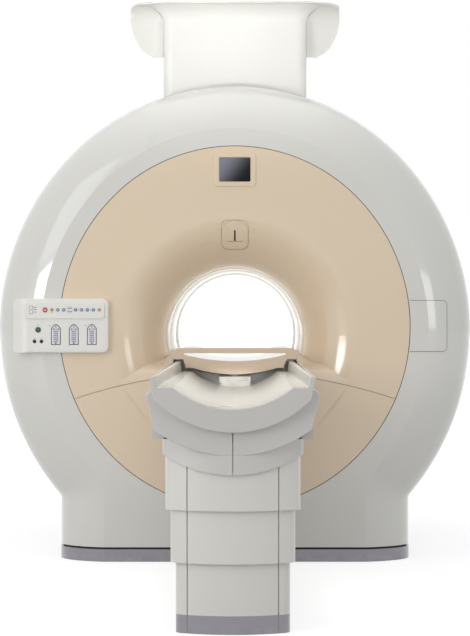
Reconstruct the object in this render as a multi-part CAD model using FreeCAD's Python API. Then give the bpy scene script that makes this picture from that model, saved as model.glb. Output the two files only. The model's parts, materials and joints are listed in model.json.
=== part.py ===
import FreeCAD, Part
import math
import os
from FreeCAD import Vector

# Closed-bore magnetic resonance scanner with its patient table.
# Millimetres. X to the right seen from the table, Y into the bore, Z up.
# The origin is on the floor, under the middle of the magnet.

# ---- scanner body ----
bore_radius = 300.0
bore_height = 1000.0            # bore axis above the floor
front_plane = -800.0            # flat front of the covers
drum_half_width = 1063.0        # outline of the drum, an oval of four arcs
drum_half_height = 1105.0
drum_height = 1022.0
base_half_width = 784.0
base_fillet = 30.0              # hollow corner between base and drum
edge_width = 206.0              # rounded edge between front face and drum
edge_outer_radius = 150.0
edge_crease = 10.0              # degrees, where the rounded edge leaves the flat band
cover_wall = 7.0
cover_bottom = 64.0
cover_joint = 3.0               # open joint between neighbouring covers
joint_plane = 577.0             # where front and rear covers meet the side covers
blend_angle = 45.0              # where two radii of one curve meet

# ---- coloured face and funnel ----
face_half_width = 776.0
face_half_height = 801.0
face_height = 1040.0
face_wall = 6.0
ledge_width = 14.0              # seat of the face behind the joint, on either side
funnel_outer_radius = 200.0     # bend next to the flat face
funnel_inner_radius = 380.0     # bend next to the bore
split_radius = 2200.0           # arched joint between upper and lower face
split_top = 838.5
rear_flare_outer = 60.0
rear_flare_inner = 150.0

# ---- docking shelf in the funnel ----
shelf_proud = 3.0
shelf_back_height = 934.0
shelf_corner_height = 856.0
shelf_corner_radius = 95.0
shelf_outline = [(-640, 960, 0), (-503, 784, 40), (-389, 637, 200), (-255, 440, 60),
                 (255, 440, 60), (389, 637, 200), (503, 784, 40), (640, 960, 0)]
slot_clear = 7.5                # beside the flanges of the tabletop
slot_level = 846.0
pocket_side_clear = 4.0         # beside the beam under the tabletop
pocket_deep = 10.0              # below the bore
pocket_rear = -548.0

# ---- magnet ----
liner_wall = 5.0
body_coil_wall = 22.0
coil_space = 26.4               # between the body coil and the gradient coil
gradient_wall = 88.0
vessel_radius = 900.0
vessel_half_length = 590.0
vessel_edge = 35.0
vessel_bore_edge = 12.0
root_depth = 90.0               # turrets start this deep inside the vessel's round wall
service_turret = (150.0, 200.0)  # radius, height above the vessel
service_flange = (180.0, 24.0)  # radius, thickness
cold_socket = (62.0, 60.0)      # radius, height above the vessel
coil_half_length = 540.0
body_coil_half_length = 440.0
seat_gap = 0.3                  # running clearance of pieces that sit on each other
foot_inner = 320.0
foot_outer = 620.0
foot_half_length = 420.0
foot_plate = 25.0
anchor_x = 655.0
anchor_y = 340.0
anchor_radius = 11.0
foot_toe = 80.0
foot_height = 400.0             # the magnet rests in the feet's hollow below this height
cold_head_clear = 47.0          # from the inside of the neck
cold_head_spacing = 251.24699   # from the service turret's axis
cold_head_steps = [(58.0, 18.0), (38.0, 120.0), (52.0, 90.0), (30.0, 40.0)]     # radius, height
frame_depth = 34.0              # welded hoop under the covers' edges
frame_reach = (20.0, 24.0)      # ahead of and behind the joint of the covers
stay_angles = (-12, 38, 142, 192)
stay_half = 20.0
stay_seat = 5.0                 # the stays end this deep in the hoop

# ---- turret above the drum ----
neck_half_width = 327.0
neck_front = -545.0
neck_depth = 700.0
neck_corner = 45.0
neck_bottom = 2035.0
cove_radius = 82.0              # hollow curve between neck and rim
wing_cove_radius = 94.0
cove_inset = 1.0                # the wings' hollow curves end just inside their outline
rim_thickness = 8.0
rim_margin = 3.0
rim_corner = 175.0
hood_top = 2509.0
hood_half_width = 480.0
hood_set_back = 100.0           # wings start behind the front of the neck
hood_height = 230.0              # of the wings at their front
hood_rise = 88.0                # the wings' underside climbs this much to the rear
cheek_radius = 52.0             # hollow curve between the wings and the neck's sides
lip_reach = 18.0                # lip of the neck under the side covers
vent_radius = 62.0
vent_wall = 4.0
vent_foot_radius = 140.0
vent_foot_thickness = 16.0
vent_flange_radius = 105.0
vent_flange_thickness = 14.0
vent_bolts = 8
vent_bolt_circle = 170.0
vent_bolt_radius = 5.5

# ---- floor skirt ----
skirt_height = 55.0
skirt_wall = 12.0
skirt_proud = 2.0
skirt_seal_wall = 9.0
seal_outer = skirt_wall - skirt_proud + 0.3     # the seal stands behind the skirt
seal_top = 80.0

# ---- display and intercom on the face ----
bezel_width = 186.0
bezel_height = 149.0
bezel_centre = 1736.0
bezel_corner = 18.0
bezel_proud = 5.0
bezel_rounding = 2.5
bezel_chamfer = 2.0
screen_width = 139.0
screen_height = 107.5
screen_corner = 5.0
screen_gap = 0.5
screen_proud = 2.5
intercom_width = 117.0
intercom_top = 1512.0
intercom_bottom = 1387.0
intercom_corner = 26.0
intercom_proud = 2.5
outline_gap = 2.0                # open joint round an inset cover
groove_depth = 2.5
grille_width = 8.0
grille_low = 1421.0
grille_high = 1469.0
score_depth = 1.2                # fine scored lines in the covers
score_half = 35.0

# ---- control panel ----
panel_left = -985.0
panel_right = -557.0
panel_low = 925.0
panel_high = 1165.0
panel_front = -832.0
panel_corner = 26.0
panel_bend = 75.0
panel_margin = 194.0             # the covers' shape is followed this far past the panel's right end
panel_rounding = 8.0
field_left = -933.0              # scored outline of the panel's inner field
field_right = -571.0
field_low = 937.0
field_corner = 16.0
strip_left = -929.0
strip_right = -575.0
strip_low = 1076.0
strip_high = 1147.0
strip_corner = 12.0
strip_proud = 6.0
strip_rounding = 2.0
key_height = 1115.0
key_radius = 7.5
key_gap = 0.3
key_rounding = 1.2
key_proud = 2.5
key_depth = 12.0
key_pitch = 26.1
first_key = -806.0
stop_place = -836.0
stop_radius = 11.0
start_place = (-867.5, 1027.0)
start_radius = 12.0
bars_place = first_key + 3 * key_pitch
bar_width = 22.0
bar_height = 5.0
bar_offset = 7.0                # above and below the row of keys
gauge_place = (-898.0, 1115.0)
gauge_size = (17.0, 36.0)
jack_places = [(-883.0, 976.0), (-852.5, 976.0)]
jack_radius = 6.0
jack_bore = 3.2
window_places = [-789.0, -710.0, -630.5]
window_height = 1006.0
window_size = (43.0, 91.0)
window_depth = 2.0
window_proud = 0.8
window_roof = 17.0
window_ridge = 7.0              # half width of the roof's flat top
hatch_right = 941.0
hatch_low = 932.0
hatch_high = 1156.0
hatch_corner = 18.0
hatch_proud = 2.5

# ---- patient table ----
column_corner = 36.0
column_bow = 420.0              # plan radius of the bowed fronts
sleeve_wall = 6.0
# half width, front and rear of each tier, from the inside out
lower_tier = (198.0, -2722.0, -1185.0)
middle_tier = (215.5, -2740.0, -1167.5)
upper_tier = (233.0, -2757.0, -1150.0)
collar_tier = (243.0, -2770.0, -1138.0)
base_height = 64.0
lower_top = 285.0
lower_tube_top = 272.0
middle_bottom = 243.5
middle_top = 475.0
middle_tube_low = 215.0
stage_plate = 10.0
upper_bottom = 426.5
upper_top = 661.7
groove_place = 157.0            # front panel joints, from the middle
groove_width = 4.0
lip_wall = 3.0
column_rows = (-2350.0, -1500.0)
tube_wall = 6.0
tube_corner = 10.0
tube_step = 2 * tube_wall + 0.6         # each stage slides inside the one below
tube_sizes = (110.0, 110.0 - tube_step, 110.0 - 2 * tube_step)
screw_radius = 11.0
screw_length = 245.0
bearing = (24.0, 22.0)          # radius, height of the bearing block under a screw
floor_plate = 12.0
base_wall = 14.0
base_inset = 7.0                # the floor plate lies in from the base's outside
table_anchor_x = 150.0
table_anchor_rows = (-2600.0, -1250.0)
table_anchor_radius = 7.0

top_tube_low = 400.0
head_half = 90.0                # plates on the last stage, along the table
rail_place = 190.0
rail_half = 20.0
rail_height = 40.0
rail_ends = (-2560.0, -1000.0)
saddle_rows = (-2540.0, -2350.0, -1925.0, -1500.0, -1020.0)
saddle_wall = 12.0
saddle_top = 840.0

trough_near = -2855.0
trough_far = -830.0
trough_joint = -2790.0
rim_height = 890.0
# (near end, far end) of the tapering trough
wall_top_half = (262.7, 234.7)
wall_foot_half = (254.4, 230.0)
ledge_half = (203.4, 185.0)
ledge_height = (853.2, 846.6)
trough_floor = (780.0, 780.0)
trough_side_wall = (10.0, 24.0)
trough_bottom_wall = 16.0
rim_rounding = 3.0
cap_rounding = 4.0
cap_half_width = 282.3
cap_corner_half = 266.0
cap_corner_height = 811.0
cap_bottom = 698.0
cap_lean = 42.0                 # the end face leans back this much to its foot

nose_half_width = 299.6
nose_shoulder = 20.0
nose_top = 841.6
nose_corner_half = 269.5
nose_corner_height = 707.5
nose_bottom = 615.8
nose_front = -2802.0
nose_lean = 32.0
nose_rear = -2620.0
skirt_half_width = 280.0
skirt_low = 664.0
skirt_high = 884.0
skirt_rear = -950.0
table_wall = 6.0
collar_low = 551.0
collar_arc = 475.0

# ---- tabletop ----
top_near = -940.0
top_length = 2200.0
end_length = 62.0
flange_half = 271.5
flange_low = 899.0
bar_top = 949.0
bar_low = 926.0
bar_corner = 28.0
flange_rounding = 6.0
end_rounding = 4.0
flange_width = 47.5
body_draft = 10.0
body_foot = 861.0
body_ledge = 39.0
body_bottom = 833.0
dish_margin = 49.9
dish_edge = 918.4
dish_low = 890.5
board_edge = 921.0
pad_gap = 0.5
bridge_front, bridge_rear = -790.0, 790.0
bridge_half_width = 228.0
bridge_web = 14.0
bridge_room_half = 170.0           # hollow in the beam, closed at its front end
bridge_room_level = 790.0
bridge_end_wall = 8.0
seal_clear = 7.0
seal_lip = 4.0
latch_place = -915.0
carriage_width = 134.0
carriage_top = 824.0
carriage_reach = (20.0, 85.0)      # before and behind the latch
recess_depth = 30.0
# recesses in the carriage's front: left, right, foot and head below the carriage's top
carriage_recesses = [(-39, -18, 17, -1), (16, 58, 17, -1), (-22, 18, 38, 24), (-68, -53, 31, 21),
                     (57, 68, 29, 19)]
post_half = 12.0                   # post that stands in the pocket under the tabletop's end
pocket_clear = 4.0


body_half = flange_half - flange_width
body_foot_half = body_half - body_draft
body_ledge_half = body_half - body_ledge
dish_half = flange_half - dish_margin


# ---------------------------------------------------------------- helpers
def in_xz(y):
    return lambda u, v: Vector(u, y, v)


def in_xy(z):
    return lambda u, v: Vector(u, v, z)


def in_yz(x):
    return lambda u, v: Vector(x, u, v)


def line(a, b):
    return Part.LineSegment(a, b).toShape()


def arc(a, middle, b):
    return Part.Arc(a, middle, b).toShape()


def box(x0, x1, y0, y1, z0, z1):
    return Part.makeBox(x1 - x0, y1 - y0, z1 - z0, Vector(x0, y0, z0))


def cylinder(radius, start, direction, length):
    return Part.makeCylinder(radius, length, start, direction)


def prism(edges, travel):
    return Part.Face(Part.Wire(edges)).extrude(travel)


def joined(shapes):
    return shapes[0].multiFuse(shapes[1:]).removeSplitter()


def without(shape, tools):
    return shape.cut(tools).removeSplitter()


def mix(pair, share):
    return pair[0] + (pair[1] - pair[0]) * share


def mirrored(shape):
    return shape.mirror(Vector(0, 0, 0), Vector(1, 0, 0))


def front_edges(shape):
    """Edges that lie flat in the foremost plane of a shape."""
    return [e for e in shape.Edges if e.BoundBox.YMax < shape.BoundBox.YMin + 0.1]


def rounded(corners, place):
    """Edges of a closed outline with a radius at each corner (u, v, radius)."""
    ends = []
    for i, (u, v, radius) in enumerate(corners):
        point = Vector(u, v, 0)
        last, following = corners[i - 1], corners[(i + 1) % len(corners)]
        before = Vector(last[0], last[1], 0) - point
        after = Vector(following[0], following[1], 0) - point
        before.normalize()
        after.normalize()
        if radius == 0:
            ends.append((point, None, point))
            continue
        half = before.getAngle(after) / 2
        inward = before + after
        inward.normalize()
        centre = point + inward * (radius / math.sin(half))
        reach = radius / math.tan(half)
        ends.append((point + before * reach, centre - inward * radius, point + after * reach))
    edges = []
    for i, (start, middle, end) in enumerate(ends):
        if middle is not None:
            edges.append(arc(place(start.x, start.y), place(middle.x, middle.y), place(end.x, end.y)))
        following = ends[(i + 1) % len(ends)][0]
        if end.distanceToPoint(following) > 0.001:
            edges.append(line(place(end.x, end.y), place(following.x, following.y)))
    return edges


def rectangle(u0, u1, v0, v1, radius, place):
    return rounded([(u0, v0, radius), (u1, v0, radius), (u1, v1, radius), (u0, v1, radius)], place)


def oval(half_width, half_height, height):
    """Four tangent arcs (centre x, centre z, radius, first angle, last angle), right side first."""
    shift = (half_height - half_width) / (2 - math.sqrt(2))
    side = half_width + shift
    cap = half_height - shift
    return [(-shift, height, side, -45, 45), (0, height + shift, cap, 45, 135),
            (shift, height, side, 135, 225), (0, height - shift, cap, 225, 315)]


def on_circle(x, z, radius, angle, y):
    turn = math.radians(angle)
    return Vector(x + radius * math.cos(turn), y, z + radius * math.sin(turn))


def circle_arc(x, z, radius, first, last, y):
    return arc(on_circle(x, z, radius, first, y), on_circle(x, z, radius, (first + last) / 2, y),
               on_circle(x, z, radius, last, y))


def oval_edges(arcs, inset, y):
    return [circle_arc(x, z, radius - inset, first, last, y) for x, z, radius, first, last in arcs]


def bend(start, radii, first):
    """A curve of two radii from a plane (heading first, degrees) to the Y direction.

    start is (u, y); u falls along the curve. The returned function gives the point at a heading,
    at a depth below the visible surface."""
    outer, inner = radii
    lean = math.radians(first)
    meet = math.radians(blend_angle)
    centre_a = (start[0] + outer * math.sin(lean), start[1] + outer * math.cos(lean))
    centre_b = (centre_a[0] - (outer - inner) * math.sin(meet),
                centre_a[1] - (outer - inner) * math.cos(meet))

    def point(heading, depth, second=False):
        centre, radius = (centre_b, inner) if second else (centre_a, outer)
        turn = math.radians(heading)
        return (centre[0] - (radius - depth) * math.sin(turn), centre[1] - (radius - depth) * math.cos(turn))

    return point


def bend_edges(point, first, depth, at):
    middle_a = (first + blend_angle) / 2
    middle_b = (blend_angle + 90) / 2
    return [arc(at(*point(first, depth)), at(*point(middle_a, depth)), at(*point(blend_angle, depth))),
            arc(at(*point(blend_angle, depth, True)), at(*point(middle_b, depth, True)),
                at(*point(90, depth, True)))]


# ---------------------------------------------------------------- outline of the scanner body
drum_arcs = oval(drum_half_width, drum_half_height, drum_height)
drum_shift = -drum_arcs[0][0]
drum_side_radius = drum_arcs[0][2]
fillet_x = base_half_width + base_fillet
fillet_z = drum_height - math.sqrt((drum_side_radius + base_fillet) ** 2 - (fillet_x + drum_shift) ** 2)
fillet_angle = math.degrees(math.atan2(fillet_z - drum_height, fillet_x + drum_shift))


def outline(bottom):
    """Segments from the right foot up, over the top and down to the left foot."""
    side, top, left = drum_arcs[0], drum_arcs[1], drum_arcs[2]
    return [("line", base_half_width, bottom, fillet_z, 1),
            ("arc", fillet_x, fillet_z, base_fillet, 180, 180 + fillet_angle),
            ("arc", side[0], side[1], side[2], fillet_angle, 45),
            ("arc", top[0], top[1], top[2], 45, 90),
            ("arc", top[0], top[1], top[2], 90, 135),
            ("arc", left[0], left[1], left[2], 135, 180 - fillet_angle),
            ("arc", -fillet_x, fillet_z, base_fillet, -fillet_angle, 0),
            ("line", -base_half_width, fillet_z, bottom, -1)]


def swept(section, segments):
    """Sweep a section, drawn in (depth inward from the outline, y), along the segments."""
    pieces = []
    for segment in segments:
        if segment[0] == "line":
            _, x, z0, z1, side = segment
            edges = section(lambda n, y: Vector(x - side * n, y, z0))
            pieces.append(prism(edges, Vector(0, 0, z1 - z0)))
        else:
            _, x, z, radius, first, last = segment
            grow = -1 if last > first else 1
            edges = section(lambda n, y: on_circle(x, z, radius + grow * n, first, y))
            face = Part.Face(Part.Wire(edges))
            pieces.append(face.revolve(Vector(x, 0, z), Vector(0, -1, 0), last - first))
    return joined(pieces)


def inset_outline(inset, bottom, y):
    """The closed outline at an inward distance, as edges in the plane y."""
    edges = []
    for segment in outline(bottom):
        if segment[0] == "line":
            _, x, z0, z1, side = segment
            edges.append(line(Vector(x - side * inset, y, z0), Vector(x - side * inset, y, z1)))
        else:
            _, x, z, radius, first, last = segment
            radius += -inset if last > first else inset
            edges.append(circle_arc(x, z, radius, first, last, y))
    reach = base_half_width - inset
    edges.append(line(Vector(-reach, y, bottom), Vector(reach, y, bottom)))
    return edges


edge_inner_radius = ((edge_width - edge_outer_radius * (1 - math.sin(math.radians(blend_angle))))
                     / (math.sin(math.radians(blend_angle)) - math.sin(math.radians(edge_crease))))
edge_point = bend((edge_width, front_plane), (edge_inner_radius, edge_outer_radius), edge_crease)
edge_end = edge_point(90, 0, True)[1]      # where the rounded edge has become the side of the drum


def edge_foot(depth):
    """Heading and y where the rounded edge, at a depth, stands over the inner end of its width."""
    rise = edge_inner_radius * math.sin(math.radians(edge_crease)) / (edge_inner_radius - depth)
    return math.degrees(math.asin(rise))


def edge_section(at):
    """Wall of the rounded edge, from the flat band to the joint with the side covers."""
    foot = edge_foot(cover_wall)
    inner = bend_edges(edge_point, foot, cover_wall, at)
    outer = bend_edges(edge_point, edge_crease, 0, at)
    start = at(*edge_point(edge_crease, 0))
    joint = -joint_plane - cover_joint / 2
    return outer + [line(at(0, edge_end), at(0, joint)),
                    line(at(0, joint), at(cover_wall, joint)),
                    line(at(cover_wall, joint), at(cover_wall, edge_end)),
                    inner[1], inner[0],
                    line(at(*edge_point(foot, cover_wall)), start)]


band_wall = edge_point(edge_foot(cover_wall), cover_wall)[1] - front_plane


def edge_envelope(growth, reach):
    """The solid under the front face and its rounded edge at the drum's left side, grown outward."""
    def section(at):
        outer = bend_edges(edge_point, edge_crease, -growth, at)
        start = edge_point(edge_crease, -growth)
        end = edge_point(90, -growth, True)
        flat = front_plane - growth
        behind = -joint_plane + 77
        foot = start[0] + growth
        return outer + [line(at(*end), at(end[0], behind)), line(at(end[0], behind), at(reach, behind)),
                        line(at(reach, behind), at(reach, flat)), line(at(reach, flat), at(foot, flat)),
                        line(at(foot, flat), at(*start))]
    left = drum_arcs[2]
    return swept(section, [("arc", left[0], left[1], left[2], 160, 200)])


# ---------------------------------------------------------------- covers
def front_cover():
    rim = swept(edge_section, outline(cover_bottom))
    plate = prism(inset_outline(edge_width, cover_bottom, front_plane), Vector(0, band_wall, 0))
    hole = prism(oval_edges(face_arcs, -cover_joint / 2, front_plane - 10), Vector(0, 50, 0))
    ledge_front = front_plane + face_wall + seat_gap
    ledge = prism(oval_edges(face_arcs, -ledge_width, ledge_front), Vector(0, cover_wall, 0))
    ledge = ledge.cut(prism(oval_edges(face_arcs, ledge_width, front_plane), Vector(0, 50, 0)))
    return joined([rim, plate.cut(hole), ledge]).cut(hatch_groove())


face_arcs = oval(face_half_width, face_half_height, face_height)
funnel_start = (bore_radius + funnel_inner_radius * (1 - math.sin(math.radians(blend_angle)))
                + funnel_outer_radius * math.sin(math.radians(blend_angle)))
funnel_point = bend((funnel_start, front_plane), (funnel_outer_radius, funnel_inner_radius), 0)
funnel_end = funnel_point(90, 0, True)[1]


def around_bore(section):
    """Revolve a section drawn in (radius, y) around the bore axis."""
    edges = section(lambda r, y: Vector(r, y, bore_height))
    return Part.Face(Part.Wire(edges)).revolve(Vector(0, 0, bore_height), Vector(0, 1, 0), 360)


def tube(radii, y0, y1):
    def section(at):
        (inner, outer) = radii
        return [line(at(inner, y0), at(outer, y0)), line(at(outer, y0), at(outer, y1)),
                line(at(outer, y1), at(inner, y1)), line(at(inner, y1), at(inner, y0))]
    return around_bore(section)


def funnel_wall(at):
    inner = bend_edges(funnel_point, 0, face_wall, at)
    return bend_edges(funnel_point, 0, 0, at) + [
        line(at(bore_radius, funnel_end), at(bore_radius + face_wall, funnel_end)), inner[1], inner[0],
        line(at(funnel_start, front_plane + face_wall), at(funnel_start, front_plane))]


def funnel_void(at):
    """Open space of the funnel, reaching half into its wall."""
    depth = face_wall / 2
    ahead = front_plane - 20
    start = funnel_point(0, depth)
    end = funnel_point(90, depth, True)
    return bend_edges(funnel_point, 0, depth, at) + [
        line(at(*end), at(0, end[1])), line(at(0, end[1]), at(0, ahead)),
        line(at(0, ahead), at(start[0], ahead)), line(at(start[0], ahead), at(*start))]


def shelf_block(depth):
    """Block that fills the lower funnel, at a depth below its surface."""
    front = front_plane - shelf_proud + depth
    profile = rounded([(funnel_end + 5, shelf_back_height - depth, 0),
                       (front, shelf_corner_height - depth, shelf_corner_radius - depth),
                       (front, 400, 0), (funnel_end + 5, 400, 0)], in_yz(-700))
    side = [(x - math.copysign(depth, x) if abs(x) > 0 else x, z + (depth if z == 440 else 0), r)
            for x, z, r in shelf_outline]
    return prism(profile, Vector(1400, 0, 0)).common(prism(rounded(side, in_xz(-900)), Vector(0, 500, 0)))


def whole_face():
    """Face, funnel and docking shelf as one wall, before it is split in two mouldings."""
    plate = Part.Face([Part.Wire(oval_edges(face_arcs, cover_joint / 2, front_plane)),
                       Part.Wire([Part.Circle(Vector(0, front_plane, bore_height), Vector(0, 1, 0),
                                              funnel_start).toShape()])])
    shell = joined([plate.extrude(Vector(0, face_wall, 0)), around_bore(funnel_wall)])
    block = shelf_block(0)
    flat_zone = box(-700, 700, front_plane - 20, front_plane + face_wall / 2, 400, 1000)
    void = joined([around_bore(funnel_void), flat_zone])
    skin = block.cut(shelf_block(face_wall)).common(void)
    ahead = front_plane - 20
    wide, narrow = flange_half + slot_clear, bridge_half_width + pocket_side_clear
    wall = face_wall
    floor = bore_height - bore_radius - pocket_deep
    upper, lower = slot_level - wall, floor - wall
    pocket = joined([box(-wide - wall, wide + wall, ahead, pocket_rear, upper, bore_height),
                     box(-narrow - wall, narrow + wall, ahead, pocket_rear, lower, bore_height)])
    pocket = pocket.common(block)
    front = front_plane - shelf_proud + wall
    behind = funnel_end + 10
    slot = joined([box(-wide, wide, ahead, behind, slot_level, bore_height),
                   box(-narrow, narrow, front, behind, floor, bore_height),
                   seal_opening(ahead, front + 1)])
    return joined([shell.cut(block), skin, pocket]).cut(slot)


def seal_opening(y0, y1):
    """Opening round the tabletop and its drive, through the seal and the shelf's front wall."""
    at = in_xz(y0)
    half = body_half + seal_clear
    foot = body_foot_half + seal_clear
    level = body_foot - seal_clear
    ledge = body_ledge_half
    top = rim_height + 5
    edges = [line(at(-half, top), at(half, top)), line(at(half, top), at(half, flange_low)),
             line(at(half, flange_low), at(foot, level)), line(at(foot, level), at(ledge, level)),
             arc(at(ledge, level), at(0, trough_floor[1] + seal_lip), at(-ledge, level)),
             line(at(-ledge, level), at(-foot, level)), line(at(-foot, level), at(-half, flange_low)),
             line(at(-half, flange_low), at(-half, top))]
    return prism(edges, Vector(0, y1 - y0, 0))


def split_block(growth):
    centre = split_top - split_radius
    return cylinder(split_radius + growth, Vector(0, front_plane - 50, centre), Vector(0, 1, 0), 500)


def rear_cover():
    point = bend((bore_radius + rear_flare_inner * (1 - math.sin(math.radians(blend_angle)))
                  + rear_flare_outer * math.sin(math.radians(blend_angle)), front_plane),
                 (rear_flare_outer, rear_flare_inner), 0)
    start = point(0, 0)[0]

    def flare(at):
        inner = bend_edges(point, 0, band_wall, at)
        return bend_edges(point, 0, 0, at) + [
            line(at(*point(90, 0, True)), at(*point(90, band_wall, True))), inner[1], inner[0],
            line(at(*point(0, band_wall)), at(*point(0, 0)))]
    rim = swept(edge_section, outline(cover_bottom))
    ring = Part.Wire([Part.Circle(Vector(0, front_plane, bore_height), Vector(0, 1, 0), start).toShape()])
    plate = Part.Face([Part.Wire(inset_outline(edge_width, cover_bottom, front_plane)), ring])
    shape = joined([rim, plate.extrude(Vector(0, band_wall, 0)), around_bore(flare)])
    return shape.mirror(Vector(0, 0, 0), Vector(0, 1, 0)), -point(90, 0, True)[1]


def neck_outline(inset, z):
    return rectangle(-neck_half_width + inset, neck_half_width - inset, neck_front + inset,
                     neck_front + neck_depth - inset, neck_corner - inset, in_xy(z))


def side_covers():
    start = -joint_plane + cover_joint / 2

    def section(at):
        wall = cover_wall
        return [line(at(0, start), at(wall, start)), line(at(wall, start), at(wall, -start)),
                line(at(wall, -start), at(0, -start)), line(at(0, -start), at(0, start))]
    neck = prism(neck_outline(-cover_joint, 1900), Vector(0, 0, 400))
    joint = box(-cover_joint / 2, cover_joint / 2, -700, 700, 1900, 2300)
    whole = swept(section, outline(cover_bottom)).cut([neck, joint])
    right = [s for s in whole.Solids if s.CenterOfMass.x > 0]
    left = [s for s in whole.Solids if s.CenterOfMass.x < 0]
    return Part.makeCompound(left), Part.makeCompound(right)


def cover_frame():
    """Welded hoop on legs that carries the edges of the covers, with stays to the magnet."""
    outer = cover_wall + seat_gap
    inner = outer + frame_depth
    ahead, behind = -joint_plane - frame_reach[0], -joint_plane + frame_reach[1]

    def section(at):
        return [line(at(outer, ahead), at(inner, ahead)), line(at(inner, ahead), at(inner, behind)),
                line(at(inner, behind), at(outer, behind)), line(at(outer, behind), at(outer, ahead))]
    hoop = swept(section, outline(0))
    stays = []
    for angle in stay_angles:
        stay = box(vessel_radius - 20, drum_half_width - outer - stay_seat, ahead + 22, behind + 12,
                   bore_height - stay_half, bore_height + stay_half)
        stay.rotate(Vector(0, 0, bore_height), Vector(0, -1, 0), angle)
        stays.append(stay)
    magnet = cylinder(vessel_radius + seat_gap, Vector(0, -700, bore_height), Vector(0, 1, 0), 1400)
    skirt = plan_ring(-skirt_proud - 5, seal_outer + skirt_seal_wall + seat_gap, -1, seal_top + 1)
    inside = prism(inset_outline(outer, 0, ahead), Vector(0, behind + 20 - ahead, 0))
    return without(joined([hoop] + [s.common(inside) for s in stays]), [magnet, skirt])


# ---------------------------------------------------------------- magnet
cold_head_reach = neck_half_width - cover_wall - cold_head_clear - cold_head_steps[0][0]
cold_head_place = (-cold_head_reach, neck_front + neck_depth / 2
                   + math.sqrt(cold_head_spacing ** 2 - cold_head_reach ** 2))
body_coil_inner = bore_radius + liner_wall + seat_gap
vessel_bore = body_coil_inner + body_coil_wall + coil_space + gradient_wall + seat_gap


def magnet_vessel():
    inner, outer = vessel_bore, vessel_radius
    half = vessel_half_length
    corners = [(inner, -half, vessel_bore_edge), (outer, -half, vessel_edge),
               (outer, half, vessel_edge), (inner, half, vessel_bore_edge)]
    edges = rounded(corners, lambda r, y: Vector(r, y, bore_height))
    shapes = [Part.Face(Part.Wire(edges)).revolve(Vector(0, 0, bore_height), Vector(0, 1, 0), 360)]
    middle = neck_front + neck_depth / 2
    root = bore_height + outer - root_depth
    for (radius, height), (x, y) in ((service_turret, (0, middle)), (cold_socket, cold_head_place)):
        shapes.append(cylinder(radius, Vector(x, y, root), Vector(0, 0, 1), root_depth + height))
    radius, thickness = service_flange
    top = bore_height + outer + service_turret[1]
    shapes.append(cylinder(radius, Vector(0, middle, top), Vector(0, 0, 1), thickness))
    return joined(shapes)


def magnet_feet():
    magnet = cylinder(vessel_radius + seat_gap, Vector(0, -700, bore_height), Vector(0, 1, 0), 1400)
    toe = foot_outer + foot_toe
    block = prism(rounded([(foot_inner, 0, 0), (toe, 0, 0), (toe, foot_plate, 0), (foot_outer, foot_plate, 0),
                           (foot_outer, foot_height, 0), (foot_inner, foot_height, 0)],
                          in_xz(-foot_half_length)), Vector(0, 2 * foot_half_length, 0))
    holes = [cylinder(anchor_radius, Vector(anchor_x, y, -1), Vector(0, 0, 1), foot_plate + 2)
             for y in (-anchor_y, anchor_y)]
    right = without(block, [magnet] + holes)
    return Part.makeCompound([right, mirrored(right)])


def cold_head():
    """Two-stage refrigerator standing in its socket on the vessel."""
    x, y = cold_head_place
    z = bore_height + vessel_radius + cold_socket[1] + seat_gap
    shapes = []
    for radius, height in cold_head_steps:
        shapes.append(cylinder(radius, Vector(x, y, z), Vector(0, 0, 1), height))
        z += height
    return joined(shapes)


def vent_pipe():
    """Helium vent from the turret flange up to a bolted flange in the top of the hood."""
    y = neck_front + neck_depth / 2
    bottom = bore_height + vessel_radius + service_turret[1] + service_flange[1] + seat_gap
    tall = hood_top - bottom
    pipe = cylinder(vent_radius, Vector(0, y, bottom), Vector(0, 0, 1), tall)
    foot = cylinder(vent_foot_radius, Vector(0, y, bottom), Vector(0, 0, 1), vent_foot_thickness)
    head = cylinder(vent_flange_radius, Vector(0, y, hood_top - vent_flange_thickness), Vector(0, 0, 1),
                    vent_flange_thickness)
    bore = cylinder(vent_radius - vent_wall, Vector(0, y, bottom - 1), Vector(0, 0, 1), tall + 2)
    holes = []
    for k in range(vent_bolts):
        turn = math.radians(360 / vent_bolts * (k + 0.5))
        place = Vector(vent_bolt_circle / 2 * math.cos(turn), y + vent_bolt_circle / 2 * math.sin(turn),
                       hood_top - 20)
        holes.append(cylinder(vent_bolt_radius, place, Vector(0, 0, 1), 30))
    return without(joined([pipe, foot, head]), [bore] + holes)


# ---------------------------------------------------------------- turret cover
hood_bottom = hood_top - hood_height


def hull_wire(inset, y, share):
    """Elevation of the wings: flat top and full rounded ends that draw in to the foot.

    The share of the rise is 0 at the front and 1 at the rear."""
    low = hood_bottom + share * hood_rise + inset
    half = hood_half_width - inset
    top = hood_top - inset
    knee = mix((hood_top - 109, hood_top - 67), share)
    right = [(330, low, 0), (412 - inset, low, mix((105, 84), share) - inset),
             (half, knee, mix((240, 120), share) - inset), (half, top, 0)]
    left = [(-x, z, r) for x, z, r in reversed(right)]
    return Part.Wire(rounded(right + left, in_xz(y)))


def hull(inset, y0, y1):
    """Wings between two depths; the foot climbs evenly from the front to the rear."""
    share = [(y - wings_front) / (wings_rear - wings_front) for y in (y0, y1)]
    return Part.makeLoft([hull_wire(inset, y0, share[0]), hull_wire(inset, y1, share[1])], True, True)


def cove_section(radius, at):
    """Hollow quarter curve from an upright face out to the underside of the rim."""
    foot = hood_top - rim_thickness - radius
    diagonal = radius * math.sqrt(0.5)
    return [line(at(-4, foot), at(0, foot)),
            arc(at(0, foot), at(radius - diagonal, foot + diagonal), at(radius, foot + radius)),
            line(at(radius, foot + radius), at(radius, hood_top)),
            line(at(radius, hood_top), at(-4, hood_top)),
            line(at(-4, hood_top), at(-4, foot))]


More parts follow.
